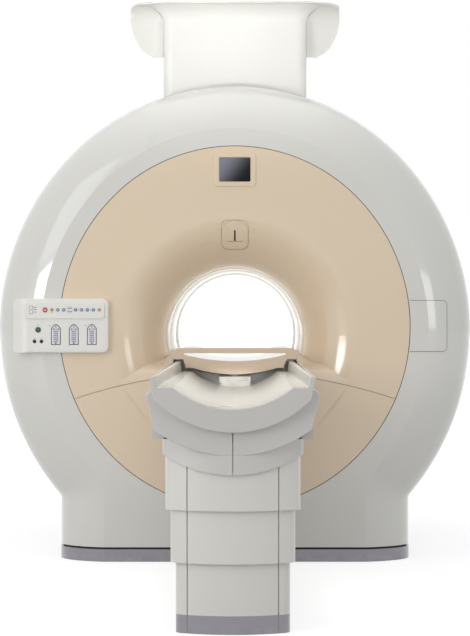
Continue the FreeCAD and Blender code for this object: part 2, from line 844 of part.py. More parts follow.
def neck_cove():
    """Hollow curve around the top of the neck, under the rim."""
    half = neck_half_width
    flat = half - neck_corner
    pieces = []
    for y, ahead in ((neck_front, -1), (neck_rear, 1)):
        edges = cove_section(cove_radius, lambda o, z: Vector(-flat, y + ahead * o, z))
        pieces.append(prism(edges, Vector(2 * flat, 0, 0)))
    for side in (-1, 1):
        edges = cove_section(cove_radius, lambda o, z: Vector(side * (half + o), neck_front + neck_corner, z))
        pieces.append(prism(edges, Vector(0, neck_depth - 2 * neck_corner, 0)))
        for y, turn in ((neck_front + neck_corner, -1), (neck_rear - neck_corner, 1)):
            edges = cove_section(cove_radius, lambda o, z: Vector(side * (half + o), y, z))
            face = Part.Face(Part.Wire(edges))
            pieces.append(face.revolve(Vector(side * flat, y, 0), Vector(0, 0, 1), 90 * side * turn))
    return joined(pieces)


def wing_coves(plan):
    """Hollow curves from the upright faces of the wings out to the rim, within both outlines."""
    inside = neck_half_width + 2
    pieces = []
    for share, y, ahead in ((0, wings_front, -1), (1, wings_rear, 1)):
        outline = hull_wire(cove_inset, y - 10 * ahead, share)
        room = Part.Face(outline).extrude(Vector(0, 200 * ahead, 0)).common(plan)
        for side in (-1, 1):
            edges = cove_section(wing_cove_radius, lambda o, z: Vector(side * inside, y + ahead * o, z))
            pieces.append(prism(edges, Vector(side * (hood_half_width - inside), 0, 0)).common(room))
    return pieces


def cheeks():
    """Hollow curves between the upright faces of the wings and the neck's sides."""
    radius = cheek_radius
    diagonal = radius * math.sqrt(0.5)
    pieces = []
    for side in (-1, 1):
        for y, ahead in ((wings_front, -1), (wings_rear, 1)):
            x = side * neck_half_width

            def at(out, away):
                return Vector(x + side * out, y + ahead * away, hood_bottom)
            edges = [line(at(-4, -4), at(radius, -4)), line(at(radius, -4), at(radius, 0)),
                     arc(at(radius, 0), at(radius - diagonal, radius - diagonal), at(0, radius)),
                     line(at(0, radius), at(-4, radius)), line(at(-4, radius), at(-4, -4))]
            rise = 0 if ahead < 0 else hood_rise
            curve = prism(edges, Vector(0, 0, hood_top - hood_bottom))
            pieces.append(curve.common(box(-900, 900, -900, 900, hood_bottom + rise, hood_top)))
    return pieces


def lip_section(at):
    """Returned lip of the neck, seated under the edge of the side covers."""
    top, low = cover_wall + seat_gap, cover_wall + seat_gap + 6
    y0, y1 = neck_front - 30, neck_rear + 30
    return [line(at(top, y0), at(low, y0)), line(at(low, y0), at(low, y1)), line(at(low, y1), at(top, y1)),
            line(at(top, y1), at(top, y0))]


neck_rear = neck_front + neck_depth
wings_front = neck_front + hood_set_back
wings_rear = neck_rear - hood_set_back


def turret_covers():
    neck = prism(neck_outline(0, neck_bottom), Vector(0, 0, hood_top - neck_bottom))
    reach = cove_radius + rim_margin
    wide = hood_half_width
    plan = prism(rectangle(-wide, wide, neck_front - reach, neck_rear + reach, rim_corner,
                           in_xy(hood_bottom)), Vector(0, 0, hood_top - hood_bottom))
    rim = plan.common(box(-600, 600, -900, 900, hood_top - rim_thickness, hood_top))
    wide = neck_half_width + lip_reach
    lip_plan = rectangle(-wide, wide, neck_front - 6, neck_rear + lip_reach, neck_corner + lip_reach,
                         in_xy(1900))
    lip = swept(lip_section, outline(0)[3:5]).common(prism(lip_plan, Vector(0, 0, 400)))
    outer = neck
    for piece in [hull(0, wings_front, wings_rear), rim, lip, neck_cove()] + cheeks() + wing_coves(plan):
        outer = outer.fuse(piece)
    outer = outer.removeSplitter()
    height = hood_top - cover_wall - neck_bottom
    room = [prism(neck_outline(cover_wall, neck_bottom - 1), Vector(0, 0, height)),
            hull(cover_wall, wings_front + cover_wall, wings_rear - cover_wall)]
    middle = (neck_front + neck_rear) / 2
    vent = cylinder(vent_flange_radius + 6, Vector(0, middle, hood_top - 80), Vector(0, 0, 1), 200)
    shell = outer.cut(room + [vent])
    gap = cover_joint / 2
    front = shell.common(box(-600, 600, neck_front - 200, middle - gap, 1900, 2700))
    rear = shell.common(box(-600, 600, middle + gap, neck_rear + 200, 1900, 2700))
    return front, rear


# ---------------------------------------------------------------- floor skirt
def plan_outline(inset, z):
    """Plan of the base: the rounded edge of the covers seen from above."""
    foot = edge_foot(inset)
    flat = edge_point(foot, inset)
    turn = edge_point(90, inset, True)
    reach = base_half_width - flat[0]
    wide = base_half_width - turn[0]
    edges = [line(Vector(-reach, flat[1], z), Vector(reach, flat[1], z)),
             line(Vector(-reach, -flat[1], z), Vector(reach, -flat[1], z)),
             line(Vector(wide, turn[1], z), Vector(wide, -turn[1], z)),
             line(Vector(-wide, turn[1], z), Vector(-wide, -turn[1], z))]
    for side, end in ((1, -1), (1, 1), (-1, 1), (-1, -1)):
        edges += bend_edges(edge_point, foot, inset,
                            lambda n, y: Vector(side * (base_half_width - n), -end * y, z))
    return Part.sortEdges(edges)[0]


def plan_ring(outer_inset, inner_inset, z0, z1):
    outer = prism(plan_outline(outer_inset, z0), Vector(0, 0, z1 - z0))
    return outer.cut(prism(plan_outline(inner_inset, z0 - 1), Vector(0, 0, z1 - z0 + 2)))


# ---------------------------------------------------------------- display and intercom
def display_bezel():
    half = bezel_width / 2
    tall = bezel_height / 2
    plate = prism(rectangle(-half, half, bezel_centre - tall, bezel_centre + tall, bezel_corner,
                            in_xz(front_plane - bezel_proud)), Vector(0, bezel_proud - seat_gap, 0))
    plate = plate.makeFillet(bezel_rounding, front_edges(plate))
    half, tall = screen_width / 2, screen_height / 2
    opening = prism(rectangle(-half, half, bezel_centre - tall, bezel_centre + tall, screen_corner,
                              in_xz(front_plane - 20)), Vector(0, 40, 0))
    plate = plate.cut(opening)
    inner = [e for e in front_edges(plate) if e.BoundBox.XMax < half + 1 and e.BoundBox.XMin > -half - 1]
    return plate.makeChamfer(bezel_chamfer, inner)


def display_screen():
    half = screen_width / 2 - screen_gap
    tall = screen_height / 2 - screen_gap
    return prism(rectangle(-half, half, bezel_centre - tall, bezel_centre + tall, screen_corner - screen_gap,
                           in_xz(front_plane - screen_proud)), Vector(0, screen_proud - seat_gap, 0))


def intercom_prism(inset):
    half = intercom_width / 2 - inset
    low = intercom_bottom + inset
    middle = intercom_top - intercom_width / 2
    at = in_xz(front_plane - 30)
    corner = intercom_corner - inset
    diagonal = corner * (1 - math.sqrt(0.5))
    edges = [arc(at(half, middle), at(0, middle + half), at(-half, middle)),
             line(at(-half, middle), at(-half, low + corner)),
             arc(at(-half, low + corner), at(-half + diagonal, low + diagonal), at(-half + corner, low)),
             line(at(-half + corner, low), at(half - corner, low)),
             arc(at(half - corner, low), at(half - diagonal, low + diagonal), at(half, low + corner)),
             line(at(half, low + corner), at(half, middle))]
    return prism(edges, Vector(0, 300, 0))


def funnel_layer(depth_front, depth_back):
    """Layer that follows the funnel and the flat face between two depths."""
    def section(at):
        front = bend_edges(funnel_point, 0, depth_front, at)
        back = bend_edges(funnel_point, 0, depth_back, at)
        starts = [at(*funnel_point(0, depth)) for depth in (depth_front, depth_back)]
        ends = [at(*funnel_point(90, depth, True)) for depth in (depth_front, depth_back)]
        return front + [line(ends[0], ends[1]), back[1], back[0], line(starts[1], starts[0])]
    return around_bore(section)


def grille_slot(growth):
    half = grille_width / 2 + growth
    return prism(rectangle(-half, half, grille_low - growth, grille_high + growth, half - 0.01,
                           in_xz(front_plane - 30)), Vector(0, 300, 0))


def intercom_groove():
    """Open joint that runs around the intercom cover, cut into the face."""
    return funnel_layer(-1, groove_depth).common(intercom_prism(-outline_gap).cut(intercom_prism(0)))


def intercom_cover():
    cover = funnel_layer(-intercom_proud, -seat_gap).common(intercom_prism(0))
    layer = funnel_layer(-intercom_proud - 1, score_depth - intercom_proud)
    low = grille_low - 2 * score_depth
    score = layer.common(box(-score_half, score_half, front_plane - 30, 0, low, grille_low))
    return cover.cut([grille_slot(0), score])


def microphone():
    return funnel_layer(-intercom_proud / 2, -seat_gap).common(grille_slot(-0.5))


# ---------------------------------------------------------------- control panel
def panel_border(inset):
    """Outline of the panel's inner field, in front of the panel."""
    return prism(rectangle(field_left + inset, field_right - inset, field_low + inset, strip_high - inset,
                           field_corner - inset, in_xz(panel_front - 1)), Vector(0, 1 + score_depth, 0))


def panel_housing():
    block = prism(rectangle(panel_left, panel_right, panel_low, panel_high, panel_corner, in_xz(panel_front)),
                  Vector(0, 150, 0))
    block = block.makeFillet(panel_rounding, front_edges(block))
    plan = rounded([(panel_right + 10, panel_front, 0), (panel_right + 10, front_plane + 40, 0),
                    (panel_left, front_plane + 90, 0), (panel_left, panel_front, panel_bend)],
                   in_xy(panel_low - 1))
    body = block.common(prism(plan, Vector(0, 0, panel_high - panel_low + 2)))
    flat = box(panel_right - panel_margin, panel_right + 20, front_plane - seat_gap, front_plane + 200,
               panel_low - 10, panel_high + 10)
    body = body.cut([edge_envelope(seat_gap, drum_half_width + panel_right + panel_margin), flat])
    tools = [cylinder(start_radius + key_gap, Vector(start_place[0], panel_front - 1, start_place[1]),
                      Vector(0, 1, 0), key_depth + 3)]
    tools.append(panel_border(0).cut(panel_border(score_depth)))
    for x, z in jack_places:
        tools.append(cylinder(jack_radius + 0.05, Vector(x, panel_front - 1, z), Vector(0, 1, 0), 13))
    for x in window_places:
        tools.append(window_prism(x, 0, window_depth))
    for x, radius in key_table():
        tools.append(cylinder(radius + key_gap, Vector(x, panel_front - 1, key_height), Vector(0, 1, 0),
                              key_depth))
    return body.cut(tools)


def window_prism(x, inset, depth):
    """House-shaped window: an upright rectangle with a pointed top."""
    half = window_size[0] / 2 - inset
    low = window_height - window_size[1] / 2 + inset
    high = window_height + window_size[1] / 2 - inset
    eaves = high - window_roof
    corners = [(x - half, low, 4), (x + half, low, 4), (x + half, eaves, 7), (x + window_ridge, high, 3),
               (x - window_ridge, high, 3), (x - half, eaves, 7)]
    return prism(rounded(corners, in_xz(panel_front - 1)), Vector(0, depth + 1, 0))


def channel_windows():
    panes = []
    for x in window_places:
        pane = window_prism(x, seat_gap, window_depth - seat_gap)
        panes.append(pane.cut(box(x - 40, x + 40, panel_front - 2, panel_front - window_proud, 900, 1100)))
    return Part.makeCompound(panes)


def key_table():
    """Place and radius of each key on the strip, from left to right."""
    keys = [(stop_place, stop_radius)]
    keys += [(first_key + k * key_pitch, key_radius) for k in range(9) if k != 3]
    return keys


def key_strip():
    edges = rectangle(strip_left, strip_right, strip_low, strip_high, strip_corner,
                      in_xz(panel_front - strip_proud))
    plate = prism(edges, Vector(0, strip_proud, 0))
    plate = plate.makeFillet(strip_rounding, front_edges(plate))
    tools = [cylinder(radius + key_gap, Vector(x, panel_front - 10, key_height), Vector(0, 1, 0), 20)
             for x, radius in key_table()]
    for shape in indicator_prisms(0):
        tools.append(shape)
    return plate.cut(tools)


def indicator_prisms(inset):
    front = panel_front - strip_proud - 1
    shapes = []
    half, tall = gauge_size[0] / 2 - inset, gauge_size[1] / 2 - inset
    shapes.append(prism(rectangle(gauge_place[0] - half, gauge_place[0] + half, gauge_place[1] - tall,
                                  gauge_place[1] + tall, 2, in_xz(front)), Vector(0, 3, 0)))
    for z in (key_height - bar_offset, key_height + bar_offset):
        half, tall = bar_width / 2 - inset, bar_height / 2 - inset
        shapes.append(prism(rectangle(bars_place - half, bars_place + half, z - tall, z + tall, 1.5,
                                      in_xz(front)), Vector(0, 3, 0)))
    return shapes


def strip_indicators():
    cut = box(-1000, -500, panel_front - 10, panel_front - strip_proud + 0.3, 1000, 1200)
    return Part.makeCompound([s.cut(cut) for s in indicator_prisms(0.2)])


def key(x, z, radius, face):
    """Domed push key. It stands proud of the face and travels into its hole."""
    body = cylinder(radius, Vector(x, face - key_proud, z), Vector(0, 1, 0), key_depth)
    return body.makeFillet(key_rounding, front_edges(body))


def jack_sockets():
    sockets = []
    for x, z in jack_places:
        ring = cylinder(jack_radius + 2, Vector(x, panel_front - 1.2, z), Vector(0, 1, 0), 1.2)
        body = cylinder(jack_radius, Vector(x, panel_front - 1.2, z), Vector(0, 1, 0), 12)
        bore = cylinder(jack_bore, Vector(x, panel_front - 2, z), Vector(0, 1, 0), 10)
        sockets.append(joined([ring, body]).cut(bore))
    return Part.makeCompound(sockets)


def edge_layer(outer_growth, inner_growth):
    """Layer between two distances from the drum's rounded edge, at its right side."""
    return mirrored(edge_envelope(outer_growth, 420).cut(edge_envelope(inner_growth, 420)))


def hatch_prism(growth):
    low, high, right = hatch_low - growth, hatch_high + growth, hatch_right + growth
    corner = hatch_corner + growth
    return prism(rounded([(700, low, 0), (right, low, corner), (right, high, corner), (700, high, 0)],
                         in_xz(front_plane - 60)), Vector(0, 200, 0))


def hatch_groove():
    """Open joint that runs around the blank cover, cut into the front cover."""
    return edge_layer(1, -groove_depth).common(hatch_prism(outline_gap).cut(hatch_prism(0)))


def blank_cover():
    """Thin plate over the unused panel place, following the drum's rounded edge."""
    plate = edge_layer(hatch_proud, seat_gap).common(hatch_prism(0))
    face = Part.Face(Part.Wire(oval_edges(face_arcs, -cover_joint, front_plane - 80)))
    return plate.cut(face.extrude(Vector(0, 400, 0)))


# ---------------------------------------------------------------- table column
def column_plan(tier, inset, z):
    """Plan of a sleeve: bowed front, rounded corners, straight sides and back."""
    half, front, rear = tier
    half -= inset
    front += inset
    rear -= inset
    corner = column_corner - inset
    bow = column_bow - inset
    # the corner arc touches the bow and the straight side
    reach = half - corner
    centre_y = front + bow
    corner_y = centre_y - math.sqrt((bow - corner) ** 2 - reach ** 2)
    lean = math.atan2(corner_y - centre_y, reach)
    touch = (bow * math.cos(lean), centre_y + bow * math.sin(lean))
    mid_turn = lean / 2
    middle = (reach + corner * math.cos(mid_turn), corner_y + corner * math.sin(mid_turn))
    at = in_xy(z)
    return [arc(at(-touch[0], touch[1]), at(0, front), at(*touch)),
            arc(at(*touch), at(*middle), at(half, corner_y)),
            line(at(half, corner_y), at(half, rear)),
            line(at(half, rear), at(-half, rear)),
            line(at(-half, rear), at(-half, corner_y)),
            arc(at(-half, corner_y), at(-middle[0], middle[1]), at(-touch[0], touch[1]))]


def column_ring(tier, z0, z1, outer, inner):
    whole = prism(column_plan(tier, outer, z0), Vector(0, 0, z1 - z0))
    return whole.cut(prism(column_plan(tier, inner, z0 - 1), Vector(0, 0, z1 - z0 + 2)))


def sleeve(tier, z0, z1):
    """Wrap-round cover and its front panel, with an open joint on both sides of the panel."""
    wall = column_ring(tier, z0, z1, 0, sleeve_wall)
    ahead = tier[1] - 10
    behind = tier[1] + 120
    edge = groove_place + groove_width / 2
    inner_edge = groove_place - groove_width / 2
    panel = wall.common(box(-inner_edge, inner_edge, ahead, behind, z0 - 1, z1 + 1))
    wrap = wall.cut(box(-edge, edge, ahead, behind, z0 - 1, z1 + 1))
    lip_outer = sleeve_wall + seat_gap
    lip = column_ring(tier, z0, z1, lip_outer, lip_outer + lip_wall)
    web = column_ring(tier, z0, z1, sleeve_wall / 2, lip_outer + lip_wall)
    lips = []
    for side in (-1, 1):
        near, far = sorted((side * (groove_place - 12), side * (edge + 8)))
        lips.append(lip.common(box(near, far, ahead, behind, z0 - 1, z1 + 1)))
        near, far = sorted((side * (edge + 1), side * (edge + 8)))
        lips.append(web.common(box(near, far, ahead, behind, z0 - 1, z1 + 1)))
    return joined([wrap] + lips), panel


def square_tube(size, y, z0, z1):
    half = size / 2
    outer = prism(rectangle(-half, half, y - half, y + half, tube_corner, in_xy(z0)), Vector(0, 0, z1 - z0))
    half -= tube_wall
    inner = prism(rectangle(-half, half, y - half, y + half, tube_corner - tube_wall + 1, in_xy(z0 - 1)),
                  Vector(0, 0, z1 - z0 + 2))
    return outer.cut(inner)


def table_base():
    ring = column_ring(lower_tier, 0, base_height, 0, base_wall)
    plate = prism(column_plan(lower_tier, base_inset, 0), Vector(0, 0, floor_plate))
    holes = [cylinder(table_anchor_radius, Vector(x, y, -1), Vector(0, 0, 1), floor_plate + 2)
             for x in (-table_anchor_x, table_anchor_x) for y in table_anchor_rows]
    grooves = []
    for side in (-1, 1):
        x = side * groove_place
        sagitta = column_bow - math.sqrt(column_bow ** 2 - groove_place ** 2)
        grooves.append(box(x - groove_width / 2, x + groove_width / 2, lower_tier[1] - 5,
                           lower_tier[1] + sagitta + 4, -1, base_height + 1))
    return without(joined([ring, plate]), holes + grooves)


def lift_tubes_lower():
    tubes = [square_tube(tube_sizes[0], y, floor_plate, lower_tube_top) for y in column_rows]
    return Part.makeCompound(tubes)


def lift_screws():
    """Standing screws with a bearing block on the base plate, one in each column."""
    shapes = []
    for y in column_rows:
        foot = Vector(0, y, floor_plate)
        shapes.append(joined([cylinder(bearing[0], foot, Vector(0, 0, 1), bearing[1]),
                              cylinder(screw_radius, foot, Vector(0, 0, 1), screw_length)]))
    return Part.makeCompound(shapes)


def middle_lift_frame():
    """Middle stage of the columns, tied to the middle sleeve by a plate."""
    low = middle_top - stage_plate
    inset = sleeve_wall + lip_wall + 2 * seat_gap
    plate = prism(column_plan(middle_tier, inset, low), Vector(0, 0, stage_plate))
    tubes = [square_tube(tube_sizes[1], y, middle_tube_low, middle_top) for y in column_rows]
    room = tube_sizes[2] / 2 + seat_gap
    holes = [box(-room, room, y - room, y + room, low - 10, middle_top + 5) for y in column_rows]
    return joined([plate] + tubes).cut(holes)


def trough_corners(y):
    share = (y - trough_near) / (trough_far - trough_near)
    return {"top": mix(wall_top_half, share), "foot": mix(wall_foot_half, share),
            "ledge": mix(ledge_half, share), "level": mix(ledge_height, share),
            "floor": mix(trough_floor, share), "side": mix(trough_side_wall, share)}


def trough_wire(y, outer_points):
    """Closed section: inner channel with ledges and a dished floor, outer side from (x, z) points."""
    c = trough_corners(y)
    top, foot, ledge, level = c["top"], c["foot"], c["ledge"], c["level"]
    at = in_xz(y)
    (top_x, top_z), (low_x, low_z), bottom = outer_points
    return Part.Wire([
        line(at(-top_x, top_z), at(-top, rim_height)),
        line(at(-top, rim_height), at(-foot, level)),
        line(at(-foot, level), at(-ledge, level)),
        arc(at(-ledge, level), at(0, c["floor"]), at(ledge, level)),
        line(at(ledge, level), at(foot, level)),
        line(at(foot, level), at(top, rim_height)),
        line(at(top, rim_height), at(top_x, top_z)),
        line(at(top_x, top_z), at(low_x, low_z)),
        arc(at(low_x, low_z), at(0, bottom), at(-low_x, low_z)),
        line(at(-low_x, low_z), at(-top_x, top_z))])


def trough_outer(y, growth):
    c = trough_corners(y)
    low = c["level"] - trough_bottom_wall - growth
    return [(c["top"] + c["side"] + growth, rim_height), (c["foot"] + c["side"] - 6 + growth, low),
            c["floor"] - trough_bottom_wall - growth]


def lengthwise(shape, low):
    """Edges that run along the table, above a height."""
    return [e for e in shape.Edges if e.BoundBox.YLength > 20 and e.BoundBox.ZMin > low]


def trough():
    near, far = trough_joint, trough_far
    body = Part.makeLoft([trough_wire(near, trough_outer(near, 0)), trough_wire(far, trough_outer(far, 0))],
                         True, True)
    return body.makeFillet(rim_rounding, lengthwise(body, rim_height - 1))


def open_envelope(points, at):
    """Outline under the rim corner, the low corner and the bottom, carried up past the rim."""
    top, low, bottom = points
    high = rim_height + 70
    return [line(at(-top[0], high), at(top[0], high)),
            line(at(top[0], high), at(*top)),
            line(at(*top), at(*low)),
            arc(at(*low), at(0, bottom), at(-low[0], low[1])),
            line(at(-low[0], low[1]), at(-top[0], top[1])),
            line(at(-top[0], top[1]), at(-top[0], high))]


def trough_hull(near, far, growth):
    """Solid envelope of the trough's outside, for what carries it."""
    wires = [Part.Wire(open_envelope(trough_outer(y, growth), in_xz(y))) for y in (near, far)]
    return Part.makeLoft(wires, True, True)


def leaning_cut(top_y, top_z, low_y, low_z):
    """Everything in front of a plane that leans back towards its foot."""
    slope = (low_y - top_y) / (low_z - top_z)
    high, deep = 1000.0, 500.0
    points = [(top_y + slope * (high - top_z), high, 0), (top_y + slope * (deep - top_z), deep, 0),
              (top_y - 400, deep, 0), (top_y - 400, high, 0)]
    return prism(rounded(points, in_yz(-500)), Vector(1000, 0, 0))


def leaning_edges(shape, top_y, top_z, lean, low_z):
    """Edges that lie in a front face that leans back towards its foot."""
    found = []
    for edge in shape.Edges:
        spots = edge.discretize(3)
        if all(abs(p.y - top_y - lean * (top_z - p.z) / (top_z - low_z)) < 0.1 for p in spots):
            found.append(edge)
    return found


def cap_points():
    return [(cap_half_width, rim_height), (cap_corner_half, cap_corner_height), cap_bottom]


def end_cap():
    near, far = trough_near, trough_joint - seat_gap
    body = Part.makeLoft([trough_wire(near, cap_points()), trough_wire(far, cap_points())], True, True)
    body = body.cut(leaning_cut(trough_near, rim_height, trough_near + cap_lean, cap_bottom))
    front = leaning_edges(body, trough_near, rim_height, cap_lean, cap_bottom)
    return body.makeFillet(cap_rounding, front + lengthwise(body, rim_height - 1))


def cap_envelope(growth):
    """Outside of the end cap as a solid, open upwards."""
    top, low, bottom = cap_points()
    points = [(top[0] + growth, top[1]), (low[0] + growth, low[1] - growth), bottom - growth]
    near = trough_near - 50
    return prism(open_envelope(points, in_xz(near)), Vector(0, trough_joint + 10 - near, 0))


def nose_prism(inset, y0, y1):
    at = in_xz(y0)
    half, corner = nose_half_width - inset, nose_corner_half - inset
    top, low, bottom = nose_top - inset, nose_corner_height + inset * 0.3, nose_bottom + inset
    edges = [arc(at(corner, low), at(0, bottom), at(-corner, low)), line(at(-corner, low), at(-half, top)),
             line(at(-half, top), at(half, top)), line(at(half, top), at(corner, low))]
    body = prism(edges, Vector(0, y1 - y0, 0))
    shoulders = [e for e in lengthwise(body, top - 1) if e.BoundBox.XLength < 1]
    return body.makeFillet(nose_shoulder - inset, shoulders)


def table_covers():
    """Left and right half of the cover under the trough: crescent nose, side skirts and collar."""
    wall = table_wall
    nose = nose_prism(0, nose_front - 20, nose_rear + wall)
    nose_room = nose_prism(wall, nose_front - 30, nose_rear).cut(
        leaning_cut(nose_front + wall, nose_top, nose_front + nose_lean + wall, nose_bottom))
    nose = nose.cut(leaning_cut(nose_front, nose_top, nose_front + nose_lean, nose_bottom))
    nose = nose.makeFillet(cap_rounding, leaning_edges(nose, nose_front, nose_top, nose_lean, nose_bottom))
    side = skirt_half_width
    skirts = box(-side, side, nose_rear, skirt_rear, skirt_low, skirt_high)
    skirt_room = box(-side + wall, side - wall, nose_rear + wall, skirt_rear - wall, skirt_low + wall, 1000)
    tall = skirt_low + wall - collar_low
    collar = prism(column_plan(collar_tier, 0, collar_low), Vector(0, 0, tall))
    centre = Vector(0, collar_tier[1] - 50, collar_low + collar_arc)
    collar = collar.common(cylinder(collar_arc, centre, Vector(0, 1, 0), 2000))
    room = prism(column_plan(collar_tier, wall, collar_low - 10), Vector(0, 0, tall + 200))
    whole = joined([nose, skirts, collar]).cut([nose_room, skirt_room, room, cap_envelope(1.0)])
    opening = trough_hull(trough_joint - 30, skirt_rear + 60, 1.5)
    whole = whole.cut(opening)
    seam = cover_joint / 2
    left = whole.common(box(-500, -seam, -3000, 0, 400, 1000))
    right = whole.common(box(seam, 500, -3000, 0, 400, 1000))
    return left, right


def table_frame():
    """Carrying frame: last stage of the columns, two side rails and saddles under the trough."""
    low = skirt_low - 2
    tubes = [square_tube(tube_sizes[2], y, top_tube_low, low) for y in column_rows]
    wide = upper_tier[0] - 1
    floor = low + stage_plate
    plates = [box(-wide, wide, y - head_half, y + head_half, low, floor) for y in column_rows]
    near, far = rail_ends
    rails = [box(side * rail_place - rail_half, side * rail_place + rail_half, near, far, floor,
                 floor + rail_height) for side in (-1, 1)]
    reach = skirt_half_width - table_wall - seat_gap
    half = saddle_wall / 2
    saddles = [box(-reach, reach, y - half, y + half, floor, saddle_top) for y in saddle_rows]
    hull = trough_hull(trough_joint, trough_far, seat_gap)
    return joined(tubes + plates + rails + [s.cut(hull) for s in saddles])


# ---------------------------------------------------------------- tabletop and its drive
def tabletop_section(y, edge_z, dish):
    """Section of the tabletop: flanges at the sides, a stepped body and a dished top."""
    at = in_xz(y)
    low = [line(at(flange_half, edge_z), at(flange_half, flange_low)),
           line(at(flange_half, flange_low), at(body_half, flange_low)),
           line(at(body_half, flange_low), at(body_foot_half, body_foot)),
           line(at(body_foot_half, body_foot), at(body_ledge_half, body_foot)),
           arc(at(body_ledge_half, body_foot), at(0, body_bottom), at(-body_ledge_half, body_foot)),
           line(at(-body_ledge_half, body_foot), at(-body_foot_half, body_foot)),
           line(at(-body_foot_half, body_foot), at(-body_half, flange_low)),
           line(at(-body_half, flange_low), at(-flange_half, flange_low)),
           line(at(-flange_half, flange_low), at(-flange_half, edge_z))]
    if dish:
        top = [line(at(-flange_half, edge_z), at(-dish_half - 8, edge_z)),
               line(at(-dish_half - 8, edge_z), at(-dish_half, dish_edge)),
               arc(at(-dish_half, dish_edge), at(0, dish_low), at(dish_half, dish_edge)),
               line(at(dish_half, dish_edge), at(dish_half + 8, edge_z)),
               line(at(dish_half + 8, edge_z), at(flange_half, edge_z))]
    else:
        top = [line(at(-flange_half, edge_z), at(flange_half, edge_z))]
    return low + top


def tabletop_end():
    """End moulding with the handle bar over the dished surface."""
    body = prism(tabletop_section(top_near, bar_top, False), Vector(0, end_length, 0))
    body = body.makeFillet(bar_corner, lengthwise(body, bar_top - 1))
    flanges = [e for e in lengthwise(body, flange_low - 1) if abs(e.BoundBox.XMin) > flange_half - 1
               and e.BoundBox.ZMax < flange_low + 1]
    body = body.makeFillet(flange_rounding, flanges)
    body = body.makeFillet(end_rounding, front_edges(body))
    at = in_xz(top_near - 1)
    hand = prism([line(at(-dish_half, bar_low), at(dish_half, bar_low)),
                  line(at(dish_half, bar_low), at(dish_half, dish_edge)),
                  arc(at(dish_half, dish_edge), at(0, dish_low), at(-dish_half, dish_edge)),
                  line(at(-dish_half, dish_edge), at(-dish_half, bar_low))], Vector(0, end_length + 2, 0))
    half = post_half + pocket_clear
    pocket = box(-half, half, latch_place + 15 - pocket_clear, latch_place + 25 + pocket_clear,
                 body_bottom - 5, body_bottom + 14)
    return body.cut([hand, pocket])


def tabletop_board():
    return prism(tabletop_section(top_near + end_length + pad_gap, board_edge, True),
                 Vector(0, top_length - end_length - pad_gap, 0))


def drive_carriage():
    """Carriage on the trough's floor; its post stands in a pocket under the tabletop's end."""
    y0, y1 = latch_place - carriage_reach[0], latch_place + carriage_reach[1]
    c = trough_corners(trough_far)
    rise = c["level"] - c["floor"]
    bow = (c["ledge"] ** 2 + rise ** 2) / (2 * rise)
    base = cylinder(bow - seat_gap, Vector(0, y0, c["floor"] + bow), Vector(0, 1, 0), y1 - y0)
    half = carriage_width / 2
    block = box(-half, half, y0, y1, c["floor"] - 1, carriage_top).common(base)
    tools = [box(x0, x1, y0 - 1, y0 + recess_depth, carriage_top - deep, carriage_top - high)
             for x0, x1, deep, high in carriage_recesses]
    post = box(-post_half, post_half, latch_place + 15, latch_place + 25, carriage_top - 2, body_bottom + 9)
    return joined([block.cut(tools), post])


def bore_bridge():
    """Beam along the bottom of the bore that carries the tabletop on two ledges."""
    at = in_xz(bridge_front)
    radius = bore_radius - seat_gap
    half = bridge_half_width
    level = body_foot - seat_gap
    edge = bore_height - math.sqrt(radius ** 2 - half ** 2)
    dip = body_bottom - 8
    ledge, step = body_ledge_half + 4, level - 8
    outer = [arc(at(-half, edge), at(0, bore_height - radius), at(half, edge)),
             line(at(half, edge), at(half, level)),
             line(at(half, level), at(ledge, level)),
             line(at(ledge, level), at(ledge, step)),
             arc(at(ledge, step), at(0, dip), at(-ledge, step)),
             line(at(-ledge, step), at(-ledge, level)),
             line(at(-ledge, level), at(-half, level)),
             line(at(-half, level), at(-half, edge))]
    beam = prism(outer, Vector(0, bridge_rear - bridge_front, 0))
    at = in_xz(bridge_front + bridge_end_wall)
    side, level = bridge_room_half, bridge_room_level
    room = prism([arc(at(-side, level), at(0, bore_height - radius + bridge_web), at(side, level)),
                  arc(at(side, level), at(0, dip - bridge_web), at(-side, level))],
                 Vector(0, bridge_rear - bridge_front, 0))
    return beam.cut(room)


def dock_seal():
    """Dark collar between the shelf and the far end of the trough, open round the tabletop."""
    y0, y1 = trough_far + seat_gap, front_plane - shelf_proud - seat_gap
    corners = trough_outer(trough_far, 0)
    (half, top), (low_half, low) = (corners[0][0], rim_height - 1), corners[1]
    at = in_xz(y0)
    outer = prism([line(at(-half, top), at(half, top)), line(at(half, top), at(low_half, low)),
                   arc(at(low_half, low), at(0, corners[2]), at(-low_half, low)),
                   line(at(-low_half, low), at(-half, top))], Vector(0, y1 - y0, 0))
    return outer.cut(seal_opening(y0 - 1, y1 + 1))


